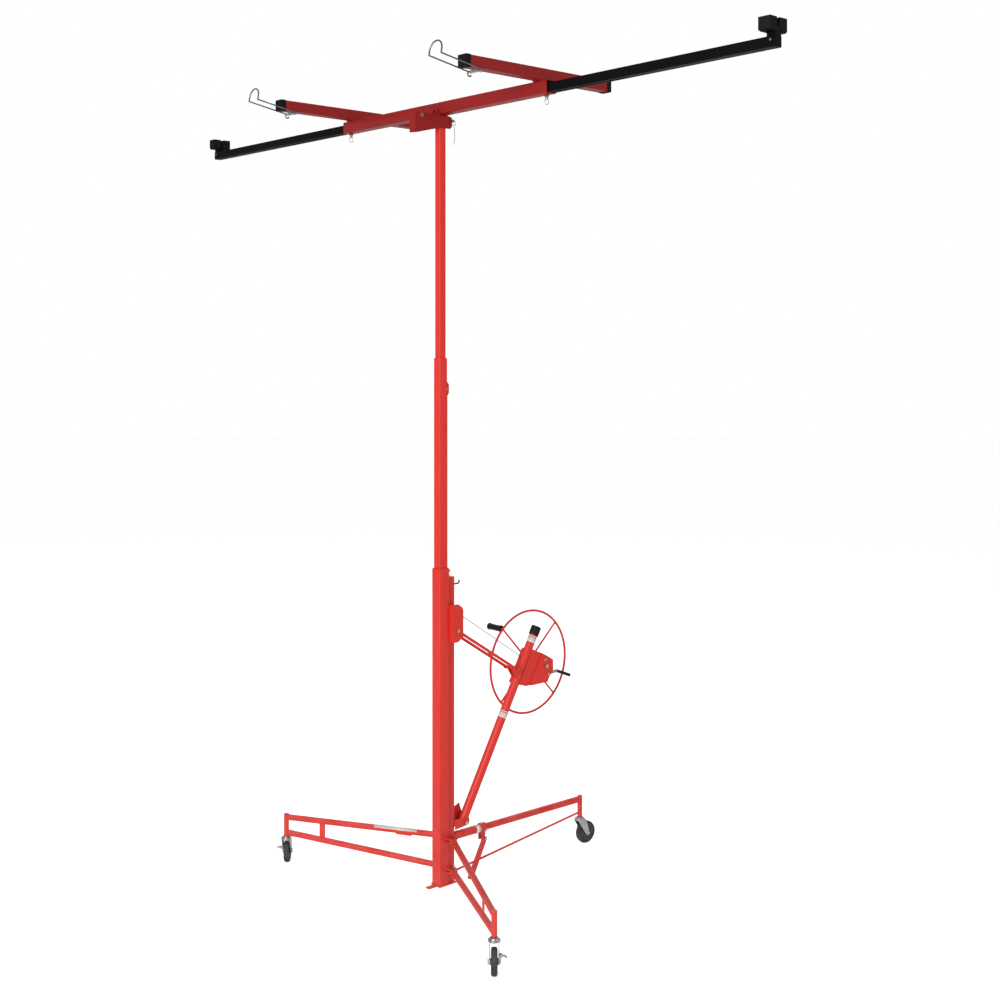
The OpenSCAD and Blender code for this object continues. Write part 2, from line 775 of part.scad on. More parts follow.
// Pull-out arm: tube, end post and slot for the ring pin. Drawn towards +X
module arm(reach) {
  inner_end = reach - arm_len;
  color(BLACK) difference() {
    union() {
      translate([0, 0, arm_z]) beam_tube(arm_w, arm_wall, inner_end, reach);
      translate([reach - 34, -16, arm_z + arm_w / 2 - 1])
        cube([34, 32, pad_z - arm_z - arm_w / 2 + 1]);
      translate([reach - 40, -44, pad_z - 4]) cube([40, 88, 4]);
      translate([reach - 3, -arm_w / 2, arm_z - arm_w / 2]) cube([3, arm_w, arm_w]);
    }
    translate([inner_end + 105, -4.6, arm_z - arm_w / 2 - 1]) cube([540, 9.2, 8]);
  }
  color(ZINC) translate([reach - 17, 0, arm_z + 6]) rotate([90, 0, 0])
    translate([0, 0, -arm_w / 2 - 2]) cylinder(r = 4, h = arm_w + 4);
}

// Two rubber blocks on an arm's end post. Drawn towards +X
module arm_pads(reach) {
  color(BLACK) {
    translate([reach - 34, -9, pad_z]) cube([34, 18, 16]);
    for (y = [-46, 8]) translate([reach - 46, y, pad_z])
      cube([48, 38, rest_z - pad_z]);
  }
}

module left_arm() {
  mirror([1, 0, 0]) arm(left_reach);
}

module right_arm() {
  arm(right_reach);
}

module left_arm_pads() {
  mirror([1, 0, 0]) arm_pads(left_reach);
}

module right_arm_pads() {
  arm_pads(right_reach);
}

// Crossarm tube along Y, lying on the beam, with the hook's clamp below it
module crossarm() {
  color(DARK_RED) translate([0, 0, crossarm_z]) difference() {
    union() {
      rotate([0, 0, 90]) beam_tube(crossarm_w, 2, -crossarm_front + 5, crossarm_rear - 5);
      translate([-24, -28, -crossarm_w / 2 - 4 + gap]) cube([48, 56, 4]);
    }
    translate([0, 0, -30]) cylinder(r = 6 + run, h = 30);
    cylinder(r = 12, h = 30);
  }
  color(ZINC) translate([0, hook_pivot_y, hook_pivot_z]) difference() {
    translate([-17, -10, -4]) cube([34, 20, 8.5]);
    rod_x(rod_r + run, -30, 30);
  }
}

module crossarm_caps() {
  color(BLACK) translate([0, 0, crossarm_z]) for (end = [0, 1])
    rotate([0, 0, end * 180])
      translate([0, end == 0 ? crossarm_rear : crossarm_front, 0]) difference() {
        translate([-cap_w / 2, -24, -cap_w / 2]) cube([cap_w, 24, cap_w]);
        translate([-crossarm_w / 2, -25, -crossarm_w / 2])
          cube([crossarm_w, 20, crossarm_w]);
      }
}

// Wire hook: a rod bent into two legs and a rising arch across the front
module hook() {
  near = 27.5;
  far = -42;
  reach = 196;
  arch = 46;
  color(WIRE) translate([0, hook_pivot_y, hook_pivot_z])
    rotate([-hook_rise, 0, 0]) {
      rod_x(rod_r, far, near);
      for (x = [near, far]) {
        translate([x, 0, 0]) sphere(rod_r, $fn = 32);
        translate([x, 0, 0]) rod_y(rod_r, -reach, 0);
        translate([x, -reach, 0]) sphere(rod_r, $fn = 32);
        translate([x, -reach, 0]) cylinder(r = rod_r, h = arch - 30);
      }
      translate([(near + far) / 2, -reach, arch - 30]) rotate([90, 0, 0])
        rotate_extrude(angle = 180) translate([(near - far) / 2, 0])
          circle(rod_r, $fn = 24);
    }
}

module right_crossarm() {
  translate([crossarm_x, 0, 0]) crossarm();
}

module left_crossarm() {
  translate([-crossarm_x, 0, 0]) crossarm();
}

module right_crossarm_caps() {
  translate([crossarm_x, 0, 0]) crossarm_caps();
}

module left_crossarm_caps() {
  translate([-crossarm_x, 0, 0]) crossarm_caps();
}

module right_hook() {
  translate([crossarm_x, 0, 0]) hook();
}

module left_hook() {
  translate([-crossarm_x, 0, 0]) hook();
}

// Pull pin that locks the cradle level, drawn back clear of the tilt bracket
module latch_pin() {
  color(ZINC) translate([0, latch_y, latch_z]) {
    rod_x(4, 15.8, 47);
    rod_x(7, 38.5, 42);
    translate([45.5, 0, -9]) pull_ring(10);
  }
}

// ---- ring pins -----------------------------------------------------------

// Ring pin under a beam end, its tip in the arm's slot. Drawn at +X
module beam_ring_pin() {
  color(ZINC) translate([crossarm_x + 26, 0, beam_z - beam_w / 2]) {
    translate([0, 0, -18]) cylinder(r = 4, h = 26);
    translate([0, 0, -20]) cylinder(r = 7, h = 4);
    translate([0, 0, -30]) pull_ring(10);
  }
}

module right_ring_pin() {
  beam_ring_pin();
}

module left_ring_pin() {
  mirror([1, 0, 0]) beam_ring_pin();
}

// Ring pin through the rear socket and leg tube
module leg_ring_pin() {
  color(ZINC) on_rear_leg() translate([0, socket_len - 12, 0]) {
    rod_x(3, -24, 28);
    translate([28, 0, 0]) rod_x(5, -6.5, 0);
    translate([29, 0, -9]) pull_ring(10);
  }
}

// ---- base ----------------------------------------------------------------

// Front leg, drawn on the +X side
module leg() {
  color(RED) on_right_leg() difference() {
    union() {
      for (z = [eye_hi_z, eye_lo_z]) translate([0, 0, z - eye_t / 2]) {
        cylinder(r = eye_r, h = eye_t);
        translate([0, -11, 0]) cube([48, 22, eye_t]);
      }
      tube([24, 0, eye_hi_z], [leg_len - 6, 0, leg_hi_end], leg_d / 2, 2);
      tube([24, 0, eye_lo_z], [leg_len - 6, 0, leg_lo_end], leg_d / 2, 2);
      translate([leg_len, 0, post_lo]) cylinder(r = post_r, h = post_hi - post_lo);
      translate([leg_len - 190, -2, 133]) cube([26, 4, 74]);
      translate([130, 0, eye_hi_z - 17]) rod_x(3.5, 0, 70);
      translate([150, -2, eye_hi_z - 18]) cube([28, 4, 8]);
    }
    translate([0, 0, 60]) cylinder(r = bolt_r + run, h = 200);
    translate([leg_len, 0, 0]) cylinder(r = stem_r + run, h = 200);
  }
}

module right_leg() {
  leg();
}

module left_leg() {
  mirror([1, 0, 0]) leg();
}

// Caster fork with its stem and axle, trailing towards +X of its own frame
module fork() {
  color(ZINC) {
    translate([0, 0, 110]) cylinder(r = stem_r, h = 84);
    translate([0, 0, 118]) cylinder(r1 = 20, r2 = 15, h = 7.5);
    translate([0, 0, 113]) cylinder(r = 23, h = 5);
    for (side = [0, 1]) mirror([0, side, 0]) translate([0, 19, 0])
      rotate([90, 0, 0]) linear_extrude(4) polygon([[-20, 116], [-16, 104],
        [trail - 11, wheel_r - 4], [trail - 6, wheel_r - 11], [trail + 6, wheel_r - 11],
        [trail + 11, wheel_r - 4], [24, 108], [20, 116]]);
    for (x = [10.7, 34.3]) translate([x, 17.5, 63]) cube([3, 11, 9]);
    translate([trail, 0, wheel_r]) rod_y(bolt_r, -22, 22);
    for (y = [-25, 18]) translate([trail, y, wheel_r]) rotate([-90, 0, 0])
      cylinder(r = 8, h = 7, $fn = 6);
  }
}

// Caster wheel with a rounded tread
module caster_wheel() {
  color(GREY) translate([trail, 0, wheel_r]) rotate([90, 0, 0]) rotate_extrude()
    polygon(concat([[bolt_r + run, -14], [12, -14], [14, -9], [34, -8], [38, -11.5]],
      [for (a = [-60 : 15 : 60]) [wheel_r - 6 + 6 * cos(a), 12 / sin(60) * sin(a)]],
      [[38, 11.5], [34, 8], [14, 9], [12, 14], [bolt_r + run, 14]]));
}

// Foot-operated brake tab on the outside of the fork
module brake_tab() {
  color(ZINC) translate([14, 25.4, 66]) {
    translate([0, 0, 1.5]) rod_x(3, 0, 20);
    translate([2, 0, 0]) cube([16, 14, 3]);
    translate([2, 12, 0]) rotate([-35, 0, 0]) cube([16, 9, 3]);
  }
}

module at_caster(x, y, yaw) {
  translate([x, y, 0]) rotate([0, 0, yaw]) children();
}

module left_fork() {
  at_caster(-caster_x, caster_y, left_yaw) fork();
}

module right_fork() {
  at_caster(caster_x, caster_y, right_yaw) fork();
}

module rear_fork() {
  at_caster(0, rear_reach, rear_yaw) fork();
}

module left_wheel() {
  at_caster(-caster_x, caster_y, left_yaw) caster_wheel();
}

module right_wheel() {
  at_caster(caster_x, caster_y, right_yaw) caster_wheel();
}

module rear_wheel() {
  at_caster(0, rear_reach, rear_yaw) caster_wheel();
}

module left_brake() {
  at_caster(-caster_x, caster_y, left_yaw) brake_tab();
}

module right_brake() {
  at_caster(caster_x, caster_y, right_yaw) brake_tab();
}

module rear_brake() {
  at_caster(0, rear_reach, rear_yaw) brake_tab();
}

// Kick strut hung from the socket's lugs, beside the brace rod
module kick_strut() {
  pivot = concat([0], rear_point(socket_len - 12, -42));
  tip = [0, 140, 22];
  color(RED) difference() {
    union() {
      translate(pivot) rod_x(9, 9, 21);
      hull() {
        translate([9, pivot[1] - 10, pivot[2] - 4]) cube([12, 20, 4]);
        translate([9, tip[1], tip[2]]) cube([12, 23, 6]);
      }
    }
    translate([0, pivot[1], pivot[2]]) rod_x(4 + run, -30, 40);
  }
}

// Grey cord loop on the latch pin's ring
lanyard = [[45.5, 34, 3198], [45.5, 36, 3188], [45.5, 37, 3176], [45.5, 38, 3164],
  [45.5, 38, 3152], [45.5, 37, 3140], [45.5, 35, 3130], [45.5, 32, 3122]];

function tube_ring(p, r) = [for (a = [0 : 45 : 315])
  [p[0] + r * cos(a), p[1] + r * sin(a), p[2]]];

module latch_lanyard() {
  count = len(lanyard);
  points = [for (p = lanyard) each tube_ring(p, 1.2)];
  sides = [for (i = [0 : count - 2], j = [0 : 7])
    [i * 8 + j, (i + 1) * 8 + j, (i + 1) * 8 + (j + 1) % 8, i * 8 + (j + 1) % 8]];
  color(GREY) polyhedron(points, concat(sides,
    [[for (j = [0 : 7]) j]], [[for (j = [7 : -1 : 0]) (count - 1) * 8 + j]]));
}

placed() outer_mast();
placed() mast_foot();
placed() rear_post();
placed() upper_bracket();
placed() foot_bracket();
placed() rear_socket();
placed() rear_leg();
placed() frame_bolts();
placed() mast_glides();
placed() lift_cable();
placed() mid_lift_cable();
placed() stage_cable();
placed() mid_mast();
placed() sheave_bracket();
placed() inner_lift_cable();
placed() inner_mast();
placed() mast_head();
placed() cradle_beam();
placed() tilt_bracket();
placed() cradle_bolts();
placed() left_arm();
placed() right_arm();
placed() left_arm_pads();
placed() right_arm_pads();
placed() left_crossarm();
placed() right_crossarm();
placed() left_crossarm_caps();
placed() right_crossarm_caps();
placed() left_hook();
placed() right_hook();
placed() latch_pin();
placed() latch_lanyard();
placed() left_leg();
placed() right_leg();
placed() left_fork();
placed() right_fork();
placed() rear_fork();
placed() left_wheel();
placed() right_wheel();
placed() rear_wheel();
placed() left_brake();
placed() right_brake();
placed() rear_brake();
placed() kick_strut();
placed() winch_tube();
placed() tube_cap();
placed() winch_housing();
placed() winch_bolts();
placed() brace_bars();
placed() drum();
placed() hand_wheel();
placed() wheel_shaft();
placed() crank_grip();
placed() brake_lever();
placed() pawl();
placed() main_sheave();
placed() mid_sheave();
placed() left_ring_pin();
placed() right_ring_pin();
placed() leg_ring_pin();
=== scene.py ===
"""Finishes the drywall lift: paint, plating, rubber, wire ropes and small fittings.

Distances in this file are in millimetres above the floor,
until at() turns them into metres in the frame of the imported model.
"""

import json
import math

import bmesh
import bpy
from mathutils import Matrix, Vector


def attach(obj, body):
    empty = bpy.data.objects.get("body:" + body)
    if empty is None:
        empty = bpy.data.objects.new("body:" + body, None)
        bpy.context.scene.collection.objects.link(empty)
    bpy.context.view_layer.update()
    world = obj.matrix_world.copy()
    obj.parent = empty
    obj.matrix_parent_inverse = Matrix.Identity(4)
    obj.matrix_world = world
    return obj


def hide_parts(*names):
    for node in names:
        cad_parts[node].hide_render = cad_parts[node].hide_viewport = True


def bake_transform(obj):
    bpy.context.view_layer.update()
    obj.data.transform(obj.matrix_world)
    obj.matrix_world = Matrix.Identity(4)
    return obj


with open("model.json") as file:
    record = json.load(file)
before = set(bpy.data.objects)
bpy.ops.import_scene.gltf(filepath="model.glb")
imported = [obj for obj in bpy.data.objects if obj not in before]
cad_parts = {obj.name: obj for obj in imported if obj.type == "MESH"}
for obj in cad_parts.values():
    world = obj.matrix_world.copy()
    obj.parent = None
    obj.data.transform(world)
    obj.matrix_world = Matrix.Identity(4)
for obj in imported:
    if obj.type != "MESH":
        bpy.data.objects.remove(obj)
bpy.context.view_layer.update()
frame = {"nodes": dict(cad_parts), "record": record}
nodes = frame["nodes"]
body_of_node = {n: b for b, group in frame["record"]["behaviour"]["bodies"].items() for n in group}

FOOT = 32.0
LEAN = math.radians(29.5)
TUBE_FOOT = (118.0, 268.0)
CRANK = math.radians(43.0)
CROSSARM_X = 613.0
LEG_HINGE = (45.0, 30.0)
CASTER = (689.39, -312.72)
MID_SHEAVE_Z = 2102
ROPE_RADIUS = 0.0012
REAR_CASTER_Y = 824.0
SIDES = {"right": 1.0, "left": -1.0}


def at(x, y, z):
    """A point given in millimetres above the floor."""
    return Vector((x, y, z - FOOT)) / 1000.0


def on_tube(x, back, along):
    """A point on the winch tube's frame: across, behind it and along it."""
    y = TUBE_FOOT[0] + along * math.sin(LEAN) + back * math.cos(LEAN)
    z = TUBE_FOOT[1] + along * math.cos(LEAN) - back * math.sin(LEAN)
    return at(x, y, z)


def on_leg(side, along, across, z):
    """A point on a front leg's frame: along it from the hinge, across it and up."""
    run = Vector((CASTER[0] - LEG_HINGE[0], CASTER[1] - LEG_HINGE[1])).normalized()
    x = LEG_HINGE[0] + run.x * along - run.y * across
    y = LEG_HINGE[1] + run.y * along + run.x * across
    return at(SIDES[side] * x, y, z)


# ---- camera, floor and light ----------------------------------------------


def set_camera():
    camera = bpy.data.cameras.new("front_view")
    camera.lens = 48.78
    camera.sensor_width = 36.0
    camera.shift_y = -0.152
    camera.clip_end = 60.0
    holder = bpy.data.objects.new("front_view", camera)
    holder.location = (4.384, -3.594, 2.241)
    holder.rotation_euler = (math.radians(90), 0, math.radians(48.15))
    bpy.context.scene.collection.objects.link(holder)
    bpy.context.scene.camera = holder


def soft_light(name, place, target, size, power, tint):
    light = bpy.data.lights.new(name, "AREA")
    light.shape = "RECTANGLE"
    light.size = size[0]
    light.size_y = size[1]
    light.energy = power
    light.color = tint
    holder = bpy.data.objects.new(name, light)
    holder.location = place
    aim = Vector(target) - Vector(place)
    holder.rotation_euler = aim.to_track_quat("-Z", "Y").to_euler()
    bpy.context.scene.collection.objects.link(holder)


def set_studio():
    world = bpy.data.worlds.new("studio")
    bpy.context.scene.world = world
    world.use_nodes = True
    tree = world.node_tree
    sky = tree.nodes["Background"]
    sky.inputs["Color"].default_value = (1.0, 1.0, 1.0, 1.0)
    seen = tree.nodes.new("ShaderNodeLightPath")
    level = tree.nodes.new("ShaderNodeMapRange")
    level.inputs["To Min"].default_value = 0.42
    level.inputs["To Max"].default_value = 1.0
    tree.links.new(seen.outputs["Is Camera Ray"], level.inputs["Value"])
    tree.links.new(level.outputs["Result"], sky.inputs["Strength"])
    soft_light("key", (2.6, -5.6, 3.0), (0, 0, 1.3), (3.2, 3.6), 345, (1.0, 0.985, 0.96))
    soft_light("fill", (6.5, 1.5, 3.0), (0, 0, 1.4), (3.0, 3.5), 60, (0.95, 0.97, 1.0))
    soft_light("back", (-4.0, 4.5, 5.0), (0, 0, 2.0), (3.0, 3.0), 110, (1.0, 1.0, 1.0))


set_camera()
set_studio()
bpy.context.scene.view_settings.view_transform = "Standard"


# ---- shader groups and finishes ----------------------------------------------


def add(tree, kind, values=None, **settings):
    """A shader node with its settings and its named input values."""
    made = tree.nodes.new(kind)
    for key, value in settings.items():
        setattr(made, key, value)
    for key, value in (values or {}).items():
        made.inputs[key].default_value = value
    return made


def group(name, sockets_in, sockets_out):
    """An empty shader group with its named sockets, and its two ends."""
    tree = bpy.data.node_groups.new(name, "ShaderNodeTree")
    for label, start in sockets_in:
        tree.interface.new_socket(label, in_out="INPUT", socket_type="NodeSocketFloat").default_value = start
    for label in sockets_out:
        tree.interface.new_socket(label, in_out="OUTPUT", socket_type="NodeSocketFloat")
    return tree, add(tree, "NodeGroupInput"), add(tree, "NodeGroupOutput")


def make_edge_wear():
    """Mask of the rubbed corners: where the rounded normal leaves the true one."""
    tree, start, end = group("edge_wear", [("Width", 0.002), ("Amount", 0.5), ("Scale", 60.0)], ["Mask"])
    rounded = add(tree, "ShaderNodeBevel", samples=6)
    plain = add(tree, "ShaderNodeNewGeometry")
    dot = add(tree, "ShaderNodeVectorMath", operation="DOT_PRODUCT")
    bend = add(tree, "ShaderNodeMapRange", {"From Min": 0.995, "From Max": 0.80})
    place = add(tree, "ShaderNodeTexCoord")
    chips = add(tree, "ShaderNodeTexNoise", {"Detail": 6.0, "Roughness": 0.65})
    cut = add(tree, "ShaderNodeMath", operation="ADD")
    sharp = add(tree, "ShaderNodeMapRange", {"From Min": 0.92, "From Max": 1.06})
    scaled = add(tree, "ShaderNodeMath", operation="MULTIPLY")
    link = tree.links.new
    link(start.outputs["Width"], rounded.inputs["Radius"])
    link(rounded.outputs["Normal"], dot.inputs[0])
    link(plain.outputs["Normal"], dot.inputs[1])
    link(dot.outputs["Value"], bend.inputs["Value"])
    link(place.outputs["Object"], chips.inputs["Vector"])
    link(start.outputs["Scale"], chips.inputs["Scale"])
    link(bend.outputs["Result"], scaled.inputs[0])
    link(start.outputs["Amount"], scaled.inputs[1])
    link(scaled.outputs["Value"], cut.inputs[0])
    link(chips.outputs["Fac"], cut.inputs[1])
    link(cut.outputs["Value"], sharp.inputs["Value"])
    link(sharp.outputs["Result"], end.inputs["Mask"])
    return tree


def make_dust():
    """Mask of settled dust: faces that look up, and anything close to the floor."""
    tree, start, end = group("settled_dust", [("Amount", 0.3), ("Scale", 9.0)], ["Mask"])
    geometry = add(tree, "ShaderNodeNewGeometry")
    split = add(tree, "ShaderNodeSeparateXYZ")
    up = add(tree, "ShaderNodeMapRange", {"From Min": 0.3, "From Max": 1.0})
    place = add(tree, "ShaderNodeTexCoord")
    where = add(tree, "ShaderNodeSeparateXYZ")
    low = add(tree, "ShaderNodeMapRange", {"From Min": 0.35, "From Max": -0.03})
    both = add(tree, "ShaderNodeMath", operation="ADD")
    cloud = add(tree, "ShaderNodeTexNoise", {"Detail": 7.0, "Roughness": 0.7})
    spread = add(tree, "ShaderNodeMapRange", {"From Min": 0.35, "From Max": 0.75})
    masked = add(tree, "ShaderNodeMath", operation="MULTIPLY")
    final = add(tree, "ShaderNodeMath", operation="MULTIPLY", use_clamp=True)
    link = tree.links.new
    link(geometry.outputs["Normal"], split.inputs[0])
    link(split.outputs["Z"], up.inputs["Value"])
    link(place.outputs["Object"], where.inputs[0])
    link(where.outputs["Z"], low.inputs["Value"])
    link(up.outputs["Result"], both.inputs[0])
    link(low.outputs["Result"], both.inputs[1])
    link(place.outputs["Object"], cloud.inputs["Vector"])
    link(start.outputs["Scale"], cloud.inputs["Scale"])
    link(cloud.outputs["Fac"], spread.inputs["Value"])
    link(both.outputs["Value"], masked.inputs[0])
    link(spread.outputs["Result"], masked.inputs[1])
    link(masked.outputs["Value"], final.inputs[0])
    link(start.outputs["Amount"], final.inputs[1])
    link(final.outputs["Value"], end.inputs["Mask"])
    return tree


def make_mottle():
    """Slow drift from 0 to 1 over the surface, for colour and gloss."""
    tree, start, end = group("mottle", [("Scale", 4.0), ("Contrast", 0.3)], ["Drift"])
    place = add(tree, "ShaderNodeTexCoord")
    cloud = add(tree, "ShaderNodeTexNoise", {"Detail": 5.0, "Roughness": 0.6, "Distortion": 0.4})
    centre = add(tree, "ShaderNodeMath", operation="SUBTRACT")
    centre.inputs[1].default_value = 0.5
    gain = add(tree, "ShaderNodeMath", operation="MULTIPLY_ADD", use_clamp=True)
    gain.inputs[2].default_value = 0.5
    link = tree.links.new
    link(place.outputs["Object"], cloud.inputs["Vector"])
    link(start.outputs["Scale"], cloud.inputs["Scale"])
    link(cloud.outputs["Fac"], centre.inputs[0])
    link(centre.outputs["Value"], gain.inputs[0])
    link(start.outputs["Contrast"], gain.inputs[1])
    link(gain.outputs["Value"], end.inputs["Drift"])
    return tree


def make_grain():
    """Fine surface height: orange peel on paint, grain on moulded plastic."""
    tree, start, end = group("fine_grain", [("Scale", 900.0), ("Stretch", 1.0)], ["Height"])
    place = add(tree, "ShaderNodeTexCoord")
    turned = add(tree, "ShaderNodeMapping")
    scale = add(tree, "ShaderNodeCombineXYZ", {"X": 1.0, "Z": 1.0})
    fine = add(tree, "ShaderNodeTexNoise", {"Detail": 3.0, "Roughness": 0.5})
    link = tree.links.new
    link(place.outputs["Object"], turned.inputs["Vector"])
    link(start.outputs["Stretch"], scale.inputs["Y"])
    link(scale.outputs["Vector"], turned.inputs["Scale"])
    link(turned.outputs["Vector"], fine.inputs["Vector"])
    link(start.outputs["Scale"], fine.inputs["Scale"])
    link(fine.outputs["Fac"], end.inputs["Height"])
    return tree


EDGE_WEAR = make_edge_wear()
DUST = make_dust()
MOTTLE = make_mottle()
GRAIN = make_grain()


def use(tree, shared, **values):
    """Places a shared group in a material with its own values."""
    made = add(tree, "ShaderNodeGroup", node_tree=shared)
    for label, value in values.items():
        made.inputs[label].default_value = value
    return made


def blank(name):
    material = bpy.data.materials.new(name)
    material.use_nodes = True
    return material, material.node_tree, material.node_tree.nodes["Principled BSDF"]


def mix(tree, factor, first, second):
    """Mixes two colours, each a colour or an output, by a mask."""
    made = add(tree, "ShaderNodeMix", data_type="RGBA")
    tree.links.new(factor, made.inputs[0])
    for slot, value in ((6, first), (7, second)):
        if isinstance(value, tuple):
            made.inputs[slot].default_value = (*value, 1.0)
        else:
            tree.links.new(value, made.inputs[slot])
    return made.outputs[2]


def span(tree, factor, low, high):
    made = add(tree, "ShaderNodeMapRange", {"To Min": low, "To Max": high})
    tree.links.new(factor, made.inputs["Value"])
    return made.outputs["Result"]


def powder_coat(name, colour, deep, bare, gloss=(0.3, 0.44), wear=0.5, dust=0.12, shine=0.32):
    """Baked powder coat: orange peel, faint colour drift, rubbed edges and dust."""
    material, tree, shader = blank(name)
    drift = use(tree, MOTTLE, Scale=3.0, Contrast=1.6).outputs["Drift"]
    streak = use(tree, MOTTLE, Scale=45.0, Contrast=2.2).outputs["Drift"]
    worn = use(tree, EDGE_WEAR, Width=0.0016, Amount=wear, Scale=70.0).outputs["Mask"]
    dusty = use(tree, DUST, Amount=dust, Scale=11.0).outputs["Mask"]
    tone = mix(tree, drift, colour, deep)
    tone = mix(tree, worn, tone, bare)
    tone = mix(tree, dusty, tone, (0.62, 0.58, 0.54))
    gloss_now = span(tree, streak, gloss[0], gloss[1])
    add_dust = add(tree, "ShaderNodeMath", operation="MULTIPLY_ADD", use_clamp=True)
    add_dust.inputs[1].default_value = 0.6
    link = tree.links.new
    link(dusty, add_dust.inputs[0])
    link(gloss_now, add_dust.inputs[2])
    peel = use(tree, GRAIN, Scale=420.0, Stretch=1.0).outputs["Height"]
    bump = add(tree, "ShaderNodeBump", {"Strength": 0.10, "Distance": 0.0006})
    link(peel, bump.inputs["Height"])
    link(tone, shader.inputs["Base Color"])
    link(add_dust.outputs["Value"], shader.inputs["Roughness"])
    link(bump.outputs["Normal"], shader.inputs["Normal"])
    shader.inputs["Specular IOR Level"].default_value = shine
    return material


def plated(name, colour, deep, rough=(0.22, 0.42), metal=1.0, dust=0.2, brush=1.0):
    """Zinc or bright steel: cloudy plating with fine drawn lines."""
    material, tree, shader = blank(name)
    drift = use(tree, MOTTLE, Scale=30.0, Contrast=2.4).outputs["Drift"]
    dusty = use(tree, DUST, Amount=dust, Scale=25.0).outputs["Mask"]
    tone = mix(tree, drift, colour, deep)
    tone = mix(tree, dusty, tone, (0.42, 0.39, 0.36))
    lines = use(tree, GRAIN, Scale=700.0, Stretch=brush).outputs["Height"]
    bump = add(tree, "ShaderNodeBump", {"Strength": 0.12, "Distance": 0.0004})
    link = tree.links.new
    link(lines, bump.inputs["Height"])
    link(tone, shader.inputs["Base Color"])
    link(span(tree, drift, rough[0], rough[1]), shader.inputs["Roughness"])
    link(bump.outputs["Normal"], shader.inputs["Normal"])
    shader.inputs["Metallic"].default_value = metal
    return material


def moulded(name, colour, scuffed, rough=(0.45, 0.7), grain=600.0, depth=0.25, dust=0.35,
            wear=0.35, shine=0.5):
    """Rubber or moulded plastic: fine grain, scuffed corners and dust."""
    material, tree, shader = blank(name)
    drift = use(tree, MOTTLE, Scale=18.0, Contrast=2.0).outputs["Drift"]
    worn = use(tree, EDGE_WEAR, Width=0.0025, Amount=wear, Scale=120.0).outputs["Mask"]
    dusty = use(tree, DUST, Amount=dust, Scale=30.0).outputs["Mask"]
    tone = mix(tree, drift, colour, tuple(0.7 * c for c in colour))
    tone = mix(tree, worn, tone, scuffed)
    tone = mix(tree, dusty, tone, (0.33, 0.31, 0.29))
    skin = use(tree, GRAIN, Scale=grain, Stretch=1.0).outputs["Height"]
    bump = add(tree, "ShaderNodeBump", {"Strength": depth, "Distance": 0.0005})
    link = tree.links.new
    link(skin, bump.inputs["Height"])
    link(tone, shader.inputs["Base Color"])
    link(span(tree, drift, rough[0], rough[1]), shader.inputs["Roughness"])
    link(bump.outputs["Normal"], shader.inputs["Normal"])
    shader.inputs["Specular IOR Level"].default_value = shine
    return material


def laid_rope(name, colour, groove_shade, lay, strands, metal, rough, fuzz=0.0):
    """Twisted strands that follow the piece's own UV map, in metres along it, with painted shade darkening
    the grooves between strands.
    """
    material, tree, shader = blank(name)
    place = add(tree, "ShaderNodeUVMap", uv_map="along")
    split = add(tree, "ShaderNodeSeparateXYZ")
    turns = add(tree, "ShaderNodeMath", operation="MULTIPLY")
    turns.inputs[1].default_value = 1.0 / lay
    sum_up = add(tree, "ShaderNodeMath", operation="ADD")
    count = add(tree, "ShaderNodeMath", operation="MULTIPLY")
    count.inputs[1].default_value = strands * 2.0 * math.pi
    wave = add(tree, "ShaderNodeMath", operation="SINE")
    height = add(tree, "ShaderNodeMapRange", {"From Min": -1.0, "From Max": 1.0})
    bump = add(tree, "ShaderNodeBump", {"Strength": 0.9, "Distance": 0.0006})
    drift = use(tree, MOTTLE, Scale=60.0, Contrast=2.0).outputs["Drift"]
    link = tree.links.new
    link(place.outputs["UV"], split.inputs[0])
    link(split.outputs["X"], turns.inputs[0])
    link(turns.outputs["Value"], sum_up.inputs[0])
    link(split.outputs["Y"], sum_up.inputs[1])
    link(sum_up.outputs["Value"], count.inputs[0])
    link(count.outputs["Value"], wave.inputs[0])
    link(wave.outputs["Value"], height.inputs["Value"])
    link(height.outputs["Result"], bump.inputs["Height"])
    # Painted shade: the grooves between strands are darkened to the dark groove colour, and the crowns keep
    # the rope's own colour
    tone = mix(tree, height.outputs["Result"], groove_shade, colour)
    tone = mix(tree, drift, tone, tuple(0.75 * c for c in colour))
    link(tone, shader.inputs["Base Color"])
    link(span(tree, drift, rough[0], rough[1]), shader.inputs["Roughness"])
    link(bump.outputs["Normal"], shader.inputs["Normal"])
    shader.inputs["Metallic"].default_value = metal
    shader.inputs["Sheen Weight"].default_value = fuzz
    return material


RED = powder_coat("red_powder_coat", (0.66, 0.030, 0.020), (0.57, 0.023, 0.015), (0.20, 0.05, 0.04),
                  wear=0.34)
DARK_RED = powder_coat("dark_red_powder_coat", (0.27, 0.009, 0.009), (0.22, 0.007, 0.007),
                       (0.10, 0.03, 0.028),
                       wear=0.34, dust=0.04, shine=0.26)
BLACK = powder_coat("black_powder_coat", (0.0032, 0.0032, 0.0035), (0.002, 0.002, 0.0024),
                    (0.035, 0.035, 0.035),
                    gloss=(0.4, 0.55), wear=0.3, dust=0.015, shine=0.07)
ZINC = plated("zinc_plate", (0.52, 0.52, 0.53), (0.36, 0.37, 0.39), brush=3.0)
BRIGHT = plated("bright_rod", (0.50, 0.50, 0.51), (0.34, 0.35, 0.37), rough=(0.2, 0.36), brush=0.2, dust=0.1)
STEEL = plated("drawn_steel_rod", (0.20, 0.20, 0.205), (0.12, 0.12, 0.125), rough=(0.3, 0.46),
               brush=0.2, dust=0.05)
YELLOW_ZINC = plated("gold_passivated_zinc", (0.62, 0.50, 0.28), (0.50, 0.40, 0.24), rough=(0.25, 0.42))
NYLON = moulded("natural_nylon", (0.72, 0.67, 0.54), (0.80, 0.77, 0.68), rough=(0.35, 0.5),
                depth=0.1, dust=0.1)
